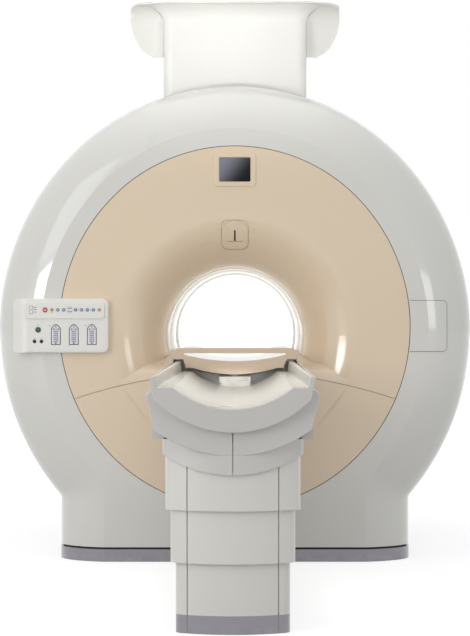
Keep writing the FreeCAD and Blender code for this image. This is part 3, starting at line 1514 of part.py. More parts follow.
# ---------------------------------------------------------------- the part
def build():
    parts = {}
    parts["front_cover"] = front_cover()
    face = whole_face()
    parts["funnel_upper_cover"] = face.cut([split_block(cover_joint / 3), intercom_groove()])
    parts["funnel_lower_cover"] = face.common(split_block(-cover_joint / 3))
    parts["left_side_cover"], parts["right_side_cover"] = side_covers()
    parts["rear_cover"], flare_start = rear_cover()
    parts["bore_tube"] = tube((bore_radius, bore_radius + liner_wall), funnel_end + 0.5, flare_start - 0.5)
    parts["turret_front_cover"], parts["turret_rear_cover"] = turret_covers()
    parts["floor_skirt"] = plan_ring(-skirt_proud, skirt_wall - skirt_proud, 0, skirt_height)
    parts["skirt_seal"] = plan_ring(seal_outer, seal_outer + skirt_seal_wall, 0, seal_top)
    parts["front_cover_frame"] = cover_frame()
    parts["rear_cover_frame"] = cover_frame().mirror(Vector(0, 0, 0), Vector(0, 1, 0))
    parts["magnet_vessel"] = magnet_vessel()
    parts["magnet_feet"] = magnet_feet()
    outer = vessel_bore - seat_gap
    parts["gradient_coil"] = tube((outer - gradient_wall, outer), -coil_half_length, coil_half_length)
    inner = body_coil_inner
    parts["body_coil"] = tube((inner, inner + body_coil_wall), -body_coil_half_length, body_coil_half_length)
    parts["cold_head"] = cold_head()
    parts["vent_pipe"] = vent_pipe()
    parts["bore_bridge"] = bore_bridge()
    parts["dock_seal"] = dock_seal()
    parts["display_bezel"] = display_bezel()
    parts["display_screen"] = display_screen()
    parts["intercom_cover"] = intercom_cover()
    parts["microphone"] = microphone()
    parts["blank_panel_cover"] = blank_cover()
    parts["panel_housing"] = panel_housing()
    parts["key_strip"] = key_strip()
    parts["strip_indicators"] = strip_indicators()
    parts["channel_windows"] = channel_windows()
    parts["jack_sockets"] = jack_sockets()
    names = ["stop_key", "orange_key_left", "blue_key_1", "blue_key_2", "grey_key_1", "grey_key_2",
             "grey_key_3", "blue_key_3", "orange_key_right"]
    for name, (x, radius) in zip(names, key_table()):
        parts[name] = key(x, key_height, radius, panel_front - strip_proud)
    parts["start_key"] = key(start_place[0], start_place[1], start_radius, panel_front)
    parts["table_base"] = table_base()
    sleeves = (("lower", lower_tier, base_height, lower_top),
               ("middle", middle_tier, middle_bottom, middle_top),
               ("upper", upper_tier, upper_bottom, upper_top))
    for name, tier, z0, z1 in sleeves:
        parts[name + "_sleeve"], parts[name + "_sleeve_panel"] = sleeve(tier, z0, z1)
    parts["lift_tubes_lower"] = lift_tubes_lower()
    parts["lift_screws"] = lift_screws()
    parts["middle_lift_frame"] = middle_lift_frame()
    parts["table_frame"] = table_frame()
    parts["table_cover_left"], parts["table_cover_right"] = table_covers()
    parts["trough"] = trough()
    parts["end_cap"] = end_cap()
    parts["drive_carriage"] = drive_carriage()
    parts["tabletop_board"] = tabletop_board()
    parts["tabletop_end"] = tabletop_end()
    return parts


os.makedirs("parts", exist_ok=True)
for node, shape in build().items():
    shape.exportStep(os.path.join("parts", node + ".step"))
    print(node, len(shape.Solids), shape.isValid(), round(shape.Volume / 1e6, 2))
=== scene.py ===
import json
import math

import bmesh
import bpy
from mathutils import Matrix, Vector
from mathutils.bvhtree import BVHTree


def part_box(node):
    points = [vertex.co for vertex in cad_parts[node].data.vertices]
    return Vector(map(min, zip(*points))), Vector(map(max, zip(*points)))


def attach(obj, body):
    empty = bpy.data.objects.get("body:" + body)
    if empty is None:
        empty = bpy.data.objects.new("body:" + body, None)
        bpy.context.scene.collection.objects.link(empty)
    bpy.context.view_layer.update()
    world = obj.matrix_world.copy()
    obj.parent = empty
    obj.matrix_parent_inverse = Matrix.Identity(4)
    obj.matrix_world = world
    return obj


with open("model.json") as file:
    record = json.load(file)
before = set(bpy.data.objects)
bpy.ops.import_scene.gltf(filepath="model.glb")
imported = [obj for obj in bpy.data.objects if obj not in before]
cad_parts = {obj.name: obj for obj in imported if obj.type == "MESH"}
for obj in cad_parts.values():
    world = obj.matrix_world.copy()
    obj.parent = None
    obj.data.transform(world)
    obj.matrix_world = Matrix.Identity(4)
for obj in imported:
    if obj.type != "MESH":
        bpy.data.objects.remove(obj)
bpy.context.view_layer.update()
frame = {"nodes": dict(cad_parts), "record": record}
cad = frame["nodes"]
scene = bpy.context.scene
print("frame loaded with", len(cad), "nodes")


# small helpers for node trees

nodeStep = (210, -190)                          # across and down in the node editor
mixFirst, mixSecond, mixResult = 6, 7, 2        # the colour sockets of a Mix node


def addNode(tree, kind, place, settings=None, values=None):
    node = tree.nodes.new("ShaderNode" + kind)
    node.location = (place[0] * nodeStep[0], place[1] * nodeStep[1])
    for name, value in (settings or {}).items():
        setattr(node, name, value)
    for name, value in (values or {}).items():
        node.inputs[name].default_value = value
    return node


def wire(tree, source, output, target, socket):
    tree.links.new(source.outputs[output], target.inputs[socket])


def newGroup(name, inputs, outputs):
    tree = bpy.data.node_groups.new(name, "ShaderNodeTree")
    for label, kind, value in inputs:
        socket = tree.interface.new_socket(label, in_out="INPUT", socket_type="NodeSocket" + kind)
        socket.default_value = value
    for label, kind in outputs:
        tree.interface.new_socket(label, in_out="OUTPUT", socket_type="NodeSocket" + kind)
    entry = tree.nodes.new("NodeGroupInput")
    entry.location = (-2 * nodeStep[0], 0)
    leave = tree.nodes.new("NodeGroupOutput")
    leave.location = (6 * nodeStep[0], 0)
    return tree, entry, leave


def newMaterial(name):
    material = bpy.data.materials.new(name)
    material.use_nodes = True
    tree = material.node_tree
    shader = tree.nodes["Principled BSDF"]
    shader.location = (4 * nodeStep[0], 0)
    tree.nodes["Material Output"].location = (6 * nodeStep[0], 0)
    return material, tree, shader


# effects that several finishes share

def mouldedSkinGroup():
    # slow drift of colour and gloss over a large moulding, and the fine grain of its paint
    tree, entry, leave = newGroup(
        "mouldedSkin",
        [("Colour", "Color", (0.8, 0.8, 0.8, 1)), ("Drift", "Float", 0.02), ("Drift Scale", "Float", 1.6),
         ("Grain Scale", "Float", 400.0), ("Roughness", "Float", 0.35), ("Gloss Drift", "Float", 0.04)],
        [("Colour", "Color"), ("Roughness", "Float"), ("Height", "Float")])
    where = addNode(tree, "TexCoord", (-3, 2))
    slow = addNode(tree, "TexNoise", (-1, 0), values={"Detail": 3.0, "Roughness": 0.55})
    fine = addNode(tree, "TexNoise", (-1, 2), values={"Detail": 2.0, "Roughness": 0.6})
    for noise, scale in ((slow, "Drift Scale"), (fine, "Grain Scale")):
        wire(tree, where, "Object", noise, "Vector")
        wire(tree, entry, scale, noise, "Scale")
    centred = addNode(tree, "Math", (0, 0), {"operation": "SUBTRACT"}, {1: 0.5})
    wire(tree, slow, "Fac", centred, 0)
    tone = addNode(tree, "Math", (1, 0), {"operation": "MULTIPLY_ADD"}, {2: 1.0})
    wire(tree, centred, 0, tone, 0)
    wire(tree, entry, "Drift", tone, 1)
    toned = addNode(tree, "VectorMath", (2, 0), {"operation": "SCALE"})
    wire(tree, entry, "Colour", toned, 0)
    wire(tree, tone, 0, toned, "Scale")
    gloss = addNode(tree, "Math", (1, 1), {"operation": "MULTIPLY_ADD"})
    wire(tree, centred, 0, gloss, 0)
    wire(tree, entry, "Gloss Drift", gloss, 1)
    wire(tree, entry, "Roughness", gloss, 2)
    wire(tree, toned, 0, leave, "Colour")
    wire(tree, gloss, 0, leave, "Roughness")
    wire(tree, fine, "Fac", leave, "Height")
    return tree


def floorDustGroup():
    # pale scuffs and dust that gather low down, where shoes and mops reach
    tree, entry, leave = newGroup(
        "floorDust",
        [("Colour", "Color", (0.8, 0.8, 0.8, 1)), ("Dust Colour", "Color", (0.5, 0.5, 0.5, 1)),
         ("Reach", "Float", 0.1), ("Amount", "Float", 0.3)],
        [("Colour", "Color")])
    where = addNode(tree, "TexCoord", (-3, 2))
    axes = addNode(tree, "SeparateXYZ", (-2, 1))
    wire(tree, where, "Object", axes, 0)
    low = addNode(tree, "MapRange", (-1, 1), {"interpolation_type": "SMOOTHSTEP"},
                  {"To Min": 1.0, "To Max": 0.0})
    wire(tree, axes, "Z", low, "Value")
    wire(tree, entry, "Reach", low, "From Max")
    patches = addNode(tree, "TexNoise", (-1, 3), values={"Scale": 14.0, "Detail": 5.0, "Roughness": 0.65})
    wire(tree, where, "Object", patches, "Vector")
    spots = addNode(tree, "MapRange", (0, 3), values={"From Min": 0.42, "From Max": 0.7})
    wire(tree, patches, "Fac", spots, "Value")
    both = addNode(tree, "Math", (1, 2), {"operation": "MULTIPLY"})
    wire(tree, low, 0, both, 0)
    wire(tree, spots, 0, both, 1)
    amount = addNode(tree, "Math", (2, 2), {"operation": "MULTIPLY"})
    wire(tree, both, 0, amount, 0)
    wire(tree, entry, "Amount", amount, 1)
    dusted = addNode(tree, "Mix", (3, 0), {"data_type": "RGBA"})
    wire(tree, amount, 0, dusted, "Factor")
    wire(tree, entry, "Colour", dusted, mixFirst)
    wire(tree, entry, "Dust Colour", dusted, mixSecond)
    wire(tree, dusted, mixResult, leave, "Colour")
    return tree


def drawnLinesGroup():
    # fine lines along one axis, as brushing or extruding leaves them
    tree, entry, leave = newGroup(
        "drawnLines",
        [("Across", "Float", 300.0), ("Along", "Float", 4.0), ("Roughness", "Float", 0.3),
         ("Gloss Drift", "Float", 0.1)],
        [("Roughness", "Float"), ("Height", "Float")])
    where = addNode(tree, "TexCoord", (-3, 2))
    scale = addNode(tree, "CombineXYZ", (-2, 0))
    wire(tree, entry, "Across", scale, "X")
    wire(tree, entry, "Along", scale, "Y")
    wire(tree, entry, "Across", scale, "Z")
    stretched = addNode(tree, "VectorMath", (-1, 1), {"operation": "MULTIPLY"})
    wire(tree, where, "Object", stretched, 0)
    wire(tree, scale, 0, stretched, 1)
    lines = addNode(tree, "TexNoise", (0, 1), values={"Scale": 1.0, "Detail": 3.0, "Roughness": 0.5})
    wire(tree, stretched, 0, lines, "Vector")
    centred = addNode(tree, "Math", (1, 1), {"operation": "SUBTRACT"}, {1: 0.5})
    wire(tree, lines, "Fac", centred, 0)
    gloss = addNode(tree, "Math", (2, 1), {"operation": "MULTIPLY_ADD"})
    wire(tree, centred, 0, gloss, 0)
    wire(tree, entry, "Gloss Drift", gloss, 1)
    wire(tree, entry, "Roughness", gloss, 2)
    wire(tree, gloss, 0, leave, "Roughness")
    wire(tree, lines, "Fac", leave, "Height")
    return tree


mouldedSkin = mouldedSkinGroup()
floorDust = floorDustGroup()
drawnLines = drawnLinesGroup()


def raiseSurface(tree, shader, source, strength, depth):
    bump = addNode(tree, "Bump", (3, 3), values={"Strength": strength, "Distance": depth})
    wire(tree, source, "Height", bump, "Height")
    wire(tree, bump, "Normal", shader, "Normal")


# what a moulded finish has where its own dictionary says nothing
plainSkin = {"driftScale": 1.6, "glossDrift": 0.04, "grainStrength": 0.25, "specular": 0.5,
             "coat": 0.0, "coatRoughness": 0.1, "coatIndex": 1.5}


def mouldedFinish(name, ownLook):
    look = {**plainSkin, **ownLook}
    material, tree, shader = newMaterial(name)
    skin = addNode(tree, "Group", (0, 0), {"node_tree": mouldedSkin}, {
        "Colour": (*look["colour"], 1), "Drift": look["drift"], "Drift Scale": look["driftScale"],
        "Grain Scale": look["grainScale"], "Roughness": look["roughness"],
        "Gloss Drift": look["glossDrift"]})
    if "dust" in look:
        dust = addNode(tree, "Group", (2, 0), {"node_tree": floorDust}, {
            "Dust Colour": (*look["dust"]["colour"], 1), "Reach": look["dust"]["reach"],
            "Amount": look["dust"]["amount"]})
        wire(tree, skin, "Colour", dust, "Colour")
        wire(tree, dust, "Colour", shader, "Base Color")
    else:
        wire(tree, skin, "Colour", shader, "Base Color")
    wire(tree, skin, "Roughness", shader, "Roughness")
    raiseSurface(tree, shader, skin, look["grainStrength"], look["grainDepth"])
    shader.inputs["Coat Weight"].default_value = look["coat"]
    shader.inputs["Coat Roughness"].default_value = look["coatRoughness"]
    shader.inputs["Coat IOR"].default_value = look["coatIndex"]
    shader.inputs["Specular IOR Level"].default_value = look["specular"]
    return material


def metalFinish(name, look):
    material, tree, shader = newMaterial(name)
    lines = addNode(tree, "Group", (0, 0), {"node_tree": drawnLines}, {
        "Across": look["across"], "Along": look["along"], "Roughness": look["roughness"],
        "Gloss Drift": look["glossDrift"]})
    wire(tree, lines, "Roughness", shader, "Roughness")
    raiseSurface(tree, shader, lines, look["lineStrength"], look["lineDepth"])
    darkest, palest = look["shade"]
    shade = addNode(tree, "MapRange", (1, 2), values={"To Min": darkest, "To Max": palest})
    wire(tree, lines, "Height", shade, "Value")
    tint = addNode(tree, "VectorMath", (2, 2), {"operation": "SCALE"}, {0: look["colour"]})
    wire(tree, shade, 0, tint, "Scale")
    wire(tree, tint, 0, shader, "Base Color")
    shader.inputs["Metallic"].default_value = 1.0
    return material


def screenWithPaintedReflection(name, look):
    # a painted reflection: the base colour of the dark glass fades from a light tint at its lit upper
    # corner
    material, tree, shader = newMaterial(name)
    where = addNode(tree, "TexCoord", (-3, 0))
    turn = addNode(tree, "Mapping", (-2, 0), {"vector_type": "TEXTURE"}, {
        "Location": look["corner"], "Rotation": (0, math.radians(look["angle"]), 0)})
    wire(tree, where, "Object", turn, "Vector")
    axes = addNode(tree, "SeparateXYZ", (-1, 0))
    wire(tree, turn, 0, axes, 0)
    fade = addNode(tree, "MapRange", (0, 0), {"interpolation_type": "SMOOTHERSTEP"},
                   {"From Min": 0.0, "From Max": look["fade"], "To Min": 1.0, "To Max": 0.0})
    wire(tree, axes, "X", fade, "Value")
    glow = addNode(tree, "Mix", (2, 0), {"data_type": "RGBA"},
                   {mixFirst: (*look["dark"], 1), mixSecond: (*look["light"], 1)})
    wire(tree, fade, 0, glow, "Factor")
    wire(tree, glow, mixResult, shader, "Base Color")
    shader.inputs["Roughness"].default_value = look["roughness"]
    shader.inputs["Specular IOR Level"].default_value = look["specular"]
    return material


# finishes, one for each material slot of the record

coverPaint = {"colour": (0.74, 0.732, 0.69), "drift": 0.03, "grainScale": 260, "grainDepth": 0.00006,
              "roughness": 0.28, "specular": 0.2, "coat": 1.0, "coatRoughness": 0.07}
facePlastic = {"colour": (0.82, 0.665, 0.485), "drift": 0.03, "grainScale": 300, "grainDepth": 0.00006,
               "roughness": 0.28, "specular": 0.25, "coat": 1.0, "coatRoughness": 0.12}
skirtPlastic = {"colour": (0.15, 0.135, 0.175), "drift": 0.05, "grainScale": 900, "grainDepth": 0.00008,
                "roughness": 0.34, "coat": 1.0, "coatRoughness": 0.12, "coatIndex": 2.15,
                "dust": {"colour": (0.42, 0.41, 0.42), "reach": 0.05, "amount": 0.25}}
sealRubber = {"colour": (0.022, 0.022, 0.023), "drift": 0.25, "grainScale": 1400, "grainDepth": 0.0001,
              "roughness": 0.7, "driftScale": 20.0}
# the dock seal is given a pale grey: painted light on a seal that sits in shade under the tabletop
dockSealPaintedLight = {"colour": (0.80, 0.80, 0.79), "drift": 0.04, "grainScale": 1400, "grainDepth": 0.00008,
              "roughness": 0.35, "coat": 0.5, "driftScale": 20.0}
framePaint = {"colour": (0.50, 0.51, 0.53), "drift": 0.05, "grainScale": 700, "grainDepth": 0.0001,
              "roughness": 0.45}
vesselSteel = {"colour": (0.56, 0.56, 0.57), "across": 260.0, "along": 5.0, "roughness": 0.34,
               "glossDrift": 0.2, "lineDepth": 0.00006, "lineStrength": 0.3, "shade": (0.92, 1.06)}
coilResin = {"colour": (0.40, 0.33, 0.22), "drift": 0.2, "grainScale": 120, "grainDepth": 0.0003,
             "roughness": 0.45, "driftScale": 8.0}
linerGelcoat = {"colour": (0.84, 0.835, 0.82), "drift": 0.015, "grainScale": 180, "grainDepth": 0.00005,
                "roughness": 0.4, "specular": 0.35}
aluminiumCast = {"colour": (0.70, 0.70, 0.72), "across": 420.0, "along": 30.0, "roughness": 0.38,
                 "glossDrift": 0.2, "lineDepth": 0.00008, "lineStrength": 0.3, "shade": (0.92, 1.06)}
# the painted reflection on the display glass: its lit corner, the turn and length of its fade, and its
# two colours
displayGlass = {"corner": (-0.075, 0.0, 1.79), "angle": 38.0, "fade": 0.16, "roughness": 0.12,
                "specular": 0.15, "light": (0.27, 0.275, 0.33), "dark": (0.008, 0.008, 0.010)}
panelPlastic = {"colour": (0.86, 0.848, 0.80), "drift": 0.02, "grainScale": 1500, "grainDepth": 0.00005,
                "roughness": 0.42, "driftScale": 6.0}
windowPlastic = {"colour": (0.62, 0.62, 0.74), "drift": 0.05, "grainScale": 1200, "grainDepth": 0.00003,
                 "roughness": 0.3, "driftScale": 20.0}
indicatorPlastic = {"colour": (0.30, 0.31, 0.40), "drift": 0.05, "grainScale": 1200,
                    "grainDepth": 0.00003, "roughness": 0.3, "driftScale": 30.0}
jackPlastic = {"colour": (0.02, 0.022, 0.03), "drift": 0.1, "grainScale": 2500, "grainDepth": 0.00004,
               "roughness": 0.4, "driftScale": 60.0}
tablePaint = {"colour": (0.70, 0.69, 0.64), "drift": 0.03, "grainScale": 260, "grainDepth": 0.00006,
              "roughness": 0.28, "coat": 0.4, "coatRoughness": 0.10}
tableShade = {"colour": (0.62, 0.60, 0.57), "drift": 0.03, "grainScale": 500, "grainDepth": 0.00006,
              "roughness": 0.38, "coat": 0.1, "coatRoughness": 0.2}
topPlastic = {"colour": (0.68, 0.545, 0.40), "drift": 0.03, "grainScale": 400, "grainDepth": 0.00006,
              "roughness": 0.32, "coat": 0.2, "coatRoughness": 0.15}
boardGelcoat = {"colour": (0.80, 0.81, 0.82), "drift": 0.02, "grainScale": 200, "grainDepth": 0.00005,
                "roughness": 0.18, "coat": 0.5, "coatRoughness": 0.06}
keyPlastic = {"drift": 0.08, "grainScale": 2500, "grainDepth": 0.00003, "roughness": 0.24,
              "driftScale": 90.0, "coat": 0.5, "coatRoughness": 0.08}
keyColours = {"key_red": (0.52, 0.02, 0.04), "key_orange": (0.62, 0.36, 0.22),
              "key_blue": (0.13, 0.28, 0.38), "key_grey": (0.24, 0.23, 0.36),
              "key_green": (0.01, 0.13, 0.02)}

finishes = {
    "cover_white": mouldedFinish("coverPaint", coverPaint),
    "face_beige": mouldedFinish("facePlastic", facePlastic),
    "skirt_lavender": mouldedFinish("skirtPlastic", skirtPlastic),
    "seal_black": mouldedFinish("sealRubber", sealRubber),
    "seal_grey": mouldedFinish("dockSealPaintedLight", dockSealPaintedLight),
    "steel_frame": mouldedFinish("framePaint", framePaint),
    "vessel_steel": metalFinish("vesselSteel", vesselSteel),
    "coil_resin": mouldedFinish("coilResin", coilResin),
    "liner_white": mouldedFinish("linerGelcoat", linerGelcoat),
    "aluminium_part": metalFinish("aluminiumCast", aluminiumCast),
    "screen_glass": screenWithPaintedReflection("displayGlass", displayGlass),
    "panel_white": mouldedFinish("panelPlastic", panelPlastic),
    "window_print": mouldedFinish("windowPlastic", windowPlastic),
    "indicator_grey": mouldedFinish("indicatorPlastic", indicatorPlastic),
    "jack_black": mouldedFinish("jackPlastic", jackPlastic),
    "table_white": mouldedFinish("tablePaint", tablePaint),
    "table_grey": mouldedFinish("tableShade", tableShade),
    "top_beige": mouldedFinish("topPlastic", topPlastic),
    "top_white": mouldedFinish("boardGelcoat", boardGelcoat),
}
for slotName, colour in keyColours.items():
    finishes[slotName] = mouldedFinish(slotName.replace("_", ""), {**keyPlastic, "colour": colour})

for part in frame["record"]["subparts"]:
    slots = cad[part["node"]].data.materials
    slots.clear()
    slots.append(finishes[part["material_slot"]])
print("finishes set on", len(cad), "nodes")


# shared steps for the pieces that are added, which start as flat drawings

facing = Matrix.Rotation(math.radians(90), 4, "X")      # turns a flat drawing to face the table


def drawingPlace(x, z, wide, tall):
    return Matrix.Translation((x, 0, z)) @ facing @ Matrix.Diagonal((wide, tall, 1, 1))


def drawPlate(made, place, columns=1):
    plate = bmesh.ops.create_grid(made, x_segments=columns, y_segments=1, size=0.5, matrix=place)
    return plate["verts"]


def keepRim(made, faces, width):
    # leaves only a band of that width along the outline of the faces
    made.normal_update()
    bmesh.ops.inset_region(made, faces=faces, thickness=width, use_boundary=True, use_even_offset=True)
    bmesh.ops.delete(made, geom=faces, context="FACES_ONLY")


def raiseFaces(made, thickness):
    # gives flat faces their thickness, towards the table
    grown = bmesh.ops.extrude_face_region(made, geom=made.faces[:])["geom"]
    bmesh.ops.translate(made, verts=[item for item in grown if isinstance(item, bmesh.types.BMVert)],
                        vec=(0, -thickness, 0))


def meshObject(name, made):
    mesh = bpy.data.meshes.new(name)
    made.to_mesh(mesh)
    made.free()
    thing = bpy.data.objects.new(name, mesh)
    scene.collection.objects.link(thing)
    return thing


def addPiece(name, made, body, slotName):
    bmesh.ops.recalc_face_normals(made, faces=made.faces)
    piece = meshObject(name, made)
    piece.data.materials.append(finishes[slotName])
    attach(piece, body)


# printed marks, a fraction of a millimetre proud of what carries them

thinPrint, thickPrint = 0.00025, 0.0004
houseCorners = ((-0.5, -0.5), (0.5, -0.5), (0.5, 0.31), (0.16, 0.5), (-0.16, 0.5), (-0.5, 0.31))
# the sides and the turn of each other kind of mark
polygons = {"disc": (28, 0), "up": (3, 90), "down": (3, -90), "right": (3, 0), "left": (3, 180)}


def drawMark(made, mark):
    # a mark is kind, x, z, width, height and the width of its line, with 0 for a filled one
    kind, x, z, wide, tall, lineWidth = mark
    place = drawingPlace(x, z, wide, tall)
    if kind == "bar":
        new = drawPlate(made, place)
    elif kind == "house":
        new = [made.verts.new(place @ Vector((across, up, 0))) for across, up in houseCorners]
        made.faces.new(new)
    else:
        sides, angle = polygons[kind]
        turned = place @ Matrix.Rotation(math.radians(angle), 4, "Z")
        new = bmesh.ops.create_circle(made, cap_ends=True, segments=sides, radius=0.5,
                                      matrix=turned)["verts"]
    if lineWidth:
        keepRim(made, list({face for vertex in new for face in vertex.link_faces}), lineWidth)


def printMarks(name, body, slotName, front, marks, thickness=thinPrint):
    made = bmesh.new()
    for mark in marks:
        drawMark(made, mark)
    raiseFaces(made, thickness)
    bmesh.ops.translate(made, verts=made.verts, vec=(0, front, 0))
    addPiece(name, made, body, slotName)


def frontOf(node):
    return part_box(node)[0][1]


def middleOf(node):
    low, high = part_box(node)
    return (low[0] + high[0]) / 2, (low[2] + high[2]) / 2


stripPrint = {"gauge": (-0.898, 1.115), "gaugeInside": (0.0125, 0.0315),
              "gaugeDot": 0.0060, "gaugeDotRise": 0.0015,
              "dashPlace": -0.8805, "dashRows": (1.1262, 1.1157, 1.1052), "dash": (0.014, 0.0022),
              "underlineDrop": 0.0125, "underline": (0.0085, 0.0013),
              "tickLevel": 1.115, "tickRise": 0.0135, "tickSteps": (-0.006, 0, 0.006),
              "tick": (0.0012, 0.004),
              "dottedKeys": ("grey_key_1", "grey_key_2", "grey_key_3", "blue_key_3"),
              "dotAside": 0.0113, "dotRise": 0.0028, "dot": 0.0022}


def printStrip(look):
    front = frontOf("key_strip")
    x, z = look["gauge"]
    gaugeDot, dot = look["gaugeDot"], look["dot"]
    printMarks("gaugeScale", "scanner", "panel_white", front,
               [("bar", x, z, *look["gaugeInside"], 0)], thickPrint)
    printMarks("gaugeDot", "scanner", "key_orange", front - thickPrint,
               [("disc", x, z + look["gaugeDotRise"], gaugeDot, gaugeDot, 0)])
    marks = [("bar", look["dashPlace"], row, *look["dash"], 0) for row in look["dashRows"]]
    x, z = middleOf("orange_key_left")
    marks.append(("bar", x, z - look["underlineDrop"], *look["underline"], 0))
    between = (middleOf("blue_key_2")[0] + middleOf("grey_key_1")[0]) / 2
    marks += [("bar", between + step, look["tickLevel"] + side * look["tickRise"], *look["tick"], 0)
              for side in (-1, 1) for step in look["tickSteps"]]
    for node in look["dottedKeys"]:
        x, z = middleOf(node)
        marks += [("bar", x - look["dotAside"], z + side * look["dotRise"], dot, dot, 0)
                  for side in (1, -1)]
    printMarks("stripMarks", "scanner", "jack_black", front, marks)


windowPrint = {"width": 0.0424, "middleShift": 0.00025, "gap": 0.0008,
               "outline": 0.0032, "border": 0.0062,
               "rows": 6, "rowPitch": 0.0092, "rowsFrom": 0.974, "blueRow": (1, 3),
               "dashes": (-0.0068, 0.0, 0.0068), "dash": (0.0050, 0.0024),
               "dotAside": 0.0112, "dotDrop": 0.0215, "dot": 0.0056,
               "pointerDrop": 0.0082, "pointer": 0.0086, "footRise": 0.0068, "foot": (0.0058, 0.0052)}


def printWindows(look):
    low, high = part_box("channel_windows")
    front, middle = low[1], (low[2] + high[2]) / 2
    wide, tall = look["width"], high[2] - low[2]
    dot, pointer = look["dot"], look["pointer"]
    inset = 2 * look["outline"] + look["gap"]
    outlines, borders, dark, blue = [], [], [], []
    columns = (low[0] + wide / 2, (low[0] + high[0]) / 2 - look["middleShift"], high[0] - wide / 2)
    for count, x in enumerate(columns):
        outlines.append(("house", x, middle, wide - look["gap"], tall - look["gap"], look["outline"]))
        borders.append(("house", x, middle, wide - inset, tall - inset, look["border"]))
        for row in range(look["rows"]):
            level = look["rowsFrom"] + row * look["rowPitch"]
            target = blue if (count, row) == look["blueRow"] else dark
            target += [("bar", x + step, level, *look["dash"], 0) for step in look["dashes"]]
        dark += [("disc", x + side * look["dotAside"], high[2] - look["dotDrop"], dot, dot, 0)
                 for side in (-1, 1)]
        dark += [("up", x, high[2] - look["pointerDrop"], pointer, pointer, 0),
                 ("bar", x, low[2] + look["footRise"], *look["foot"], 0)]
    printMarks("windowOutlines", "scanner", "jack_black", front, outlines)
    printMarks("windowBorders", "scanner", "panel_white", front, borders)
    printMarks("windowMarks", "scanner", "jack_black", front, dark, thickPrint)
    printMarks("windowRow", "scanner", "key_blue", front, blue, thickPrint)


startPrint = {"halo": 0.0315, "haloLine": 0.0028, "ring": 0.0236, "ringLine": 0.0042,
              "barAside": 0.0035, "barRise": 0.0215, "bar": (0.0014, 0.0052)}
jackPrint = {"fromEnd": 0.008, "ring": 0.0172, "ringLine": 0.0012,
             "markRise": 0.0135, "markAside": 0.0026, "bar": (0.0030, 0.0016), "pointer": 0.0040}
arrowPrint = {"aside": 0.0078, "drop": 0.0052, "head": 0.0050,
              "tailAside": 0.0036, "tail": (0.0040, 0.0014)}


def printPanel(start, jack, arrow):
    front = frontOf("panel_housing")
    x, z = middleOf("start_key")
    marks = [("bar", x + side * start["barAside"], z + start["barRise"], *start["bar"], 0)
             for side in (-1, 1)]
    printMarks("startHalo", "scanner", "top_white", front,
               [("disc", x, z, start["halo"], start["halo"], start["haloLine"])])
    printMarks("startRing", "start_key_body", "jack_black", frontOf("start_key"),
               [("disc", x, z, start["ring"], start["ring"], start["ringLine"])])
    low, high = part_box("jack_sockets")
    socketLevel = (low[2] + high[2]) / 2
    level = socketLevel + jack["markRise"]
    rings = []
    for x in (low[0] + jack["fromEnd"], high[0] - jack["fromEnd"]):
        rings.append(("disc", x, socketLevel, jack["ring"], jack["ring"], jack["ringLine"]))
        marks += [("bar", x - jack["markAside"], level, *jack["bar"], 0),
                  ("up", x + jack["markAside"], level, jack["pointer"], jack["pointer"], 0)]
    low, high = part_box("channel_windows")
    level = high[2] - arrow["drop"]
    for windowEdge in (low[0], high[0] - windowPrint["width"]):
        x = windowEdge - arrow["aside"]
        marks += [("left", x, level, arrow["head"], arrow["head"], 0),
                  ("bar", x + arrow["tailAside"], level, *arrow["tail"], 0)]
    printMarks("jackRings", "scanner", "indicator_grey", front, rings)
    printMarks("panelMarks", "scanner", "jack_black", front, marks)


# the sign of each key: its slot, and its marks as drawMark has them, placed from the key's middle
keySigns = {
    "stop_key": ("panel_white", [("disc", 0, 0, 0.0130, 0.0078, 0.0015)]),
    "orange_key_left": ("jack_black", [("disc", 0, 0, 0.0058, 0.0058, 0.0010)]),
    "blue_key_1": ("panel_white", [("up", 0, -0.0004, 0.0066, 0.0066, 0)]),
    "blue_key_2": ("panel_white", [("down", 0, 0.0004, 0.0066, 0.0066, 0)]),
    "grey_key_1": ("panel_white", [("left", 0, 0, 0.0058, 0.0058, 0)]),
    "grey_key_2": ("panel_white", [("bar", 0, 0, 0.0050, 0.0050, 0.0010)]),
    "grey_key_3": ("panel_white", [("right", 0, 0, 0.0058, 0.0058, 0)]),
    "blue_key_3": ("panel_white", [("disc", 0, 0, 0.0046, 0.0046, 0.0011),
                                   ("bar", 0, 0.0037, 0.0011, 0.0022, 0),
                                   ("bar", 0, -0.0037, 0.0011, 0.0022, 0)]),
    "orange_key_right": ("jack_black", [("bar", 0, 0.0013, 0.0064, 0.0011, 0),
                                        ("bar", 0, -0.0013, 0.0064, 0.0011, 0)]),
}

printStrip(stripPrint)
printWindows(windowPrint)
printPanel(startPrint, jackPrint, arrowPrint)
for keyNode, (signSlot, signMarks) in keySigns.items():
    keyX, keyZ = middleOf(keyNode)
    printMarks(keyNode.replace("_", "") + "Sign", keyNode + "_body", signSlot, frontOf(keyNode),
               [(kind, keyX + x, keyZ + z, *rest) for kind, x, z, *rest in signMarks])
print("panel printed")


# thin dark strips laid in the open joints of the covers, which show as lines: painted shade for the
# shadow in each gap

shadowStripMesh = {"cornerSegments": 8, "straightCuts": 24, "castFrom": -1.2}


def layOn(made, node):
    # takes each point of a flat drawing back from castFrom to the surface of the node
    mesh = cad[node].data
    surface = BVHTree.FromPolygons([vertex.co for vertex in mesh.vertices],
                                   [face.vertices for face in mesh.polygons])
    for vertex in made.verts:
        start = Vector((vertex.co.x, shadowStripMesh["castFrom"], vertex.co.z))
        vertex.co.y = surface.ray_cast(start, Vector((0, 1, 0)))[0].y


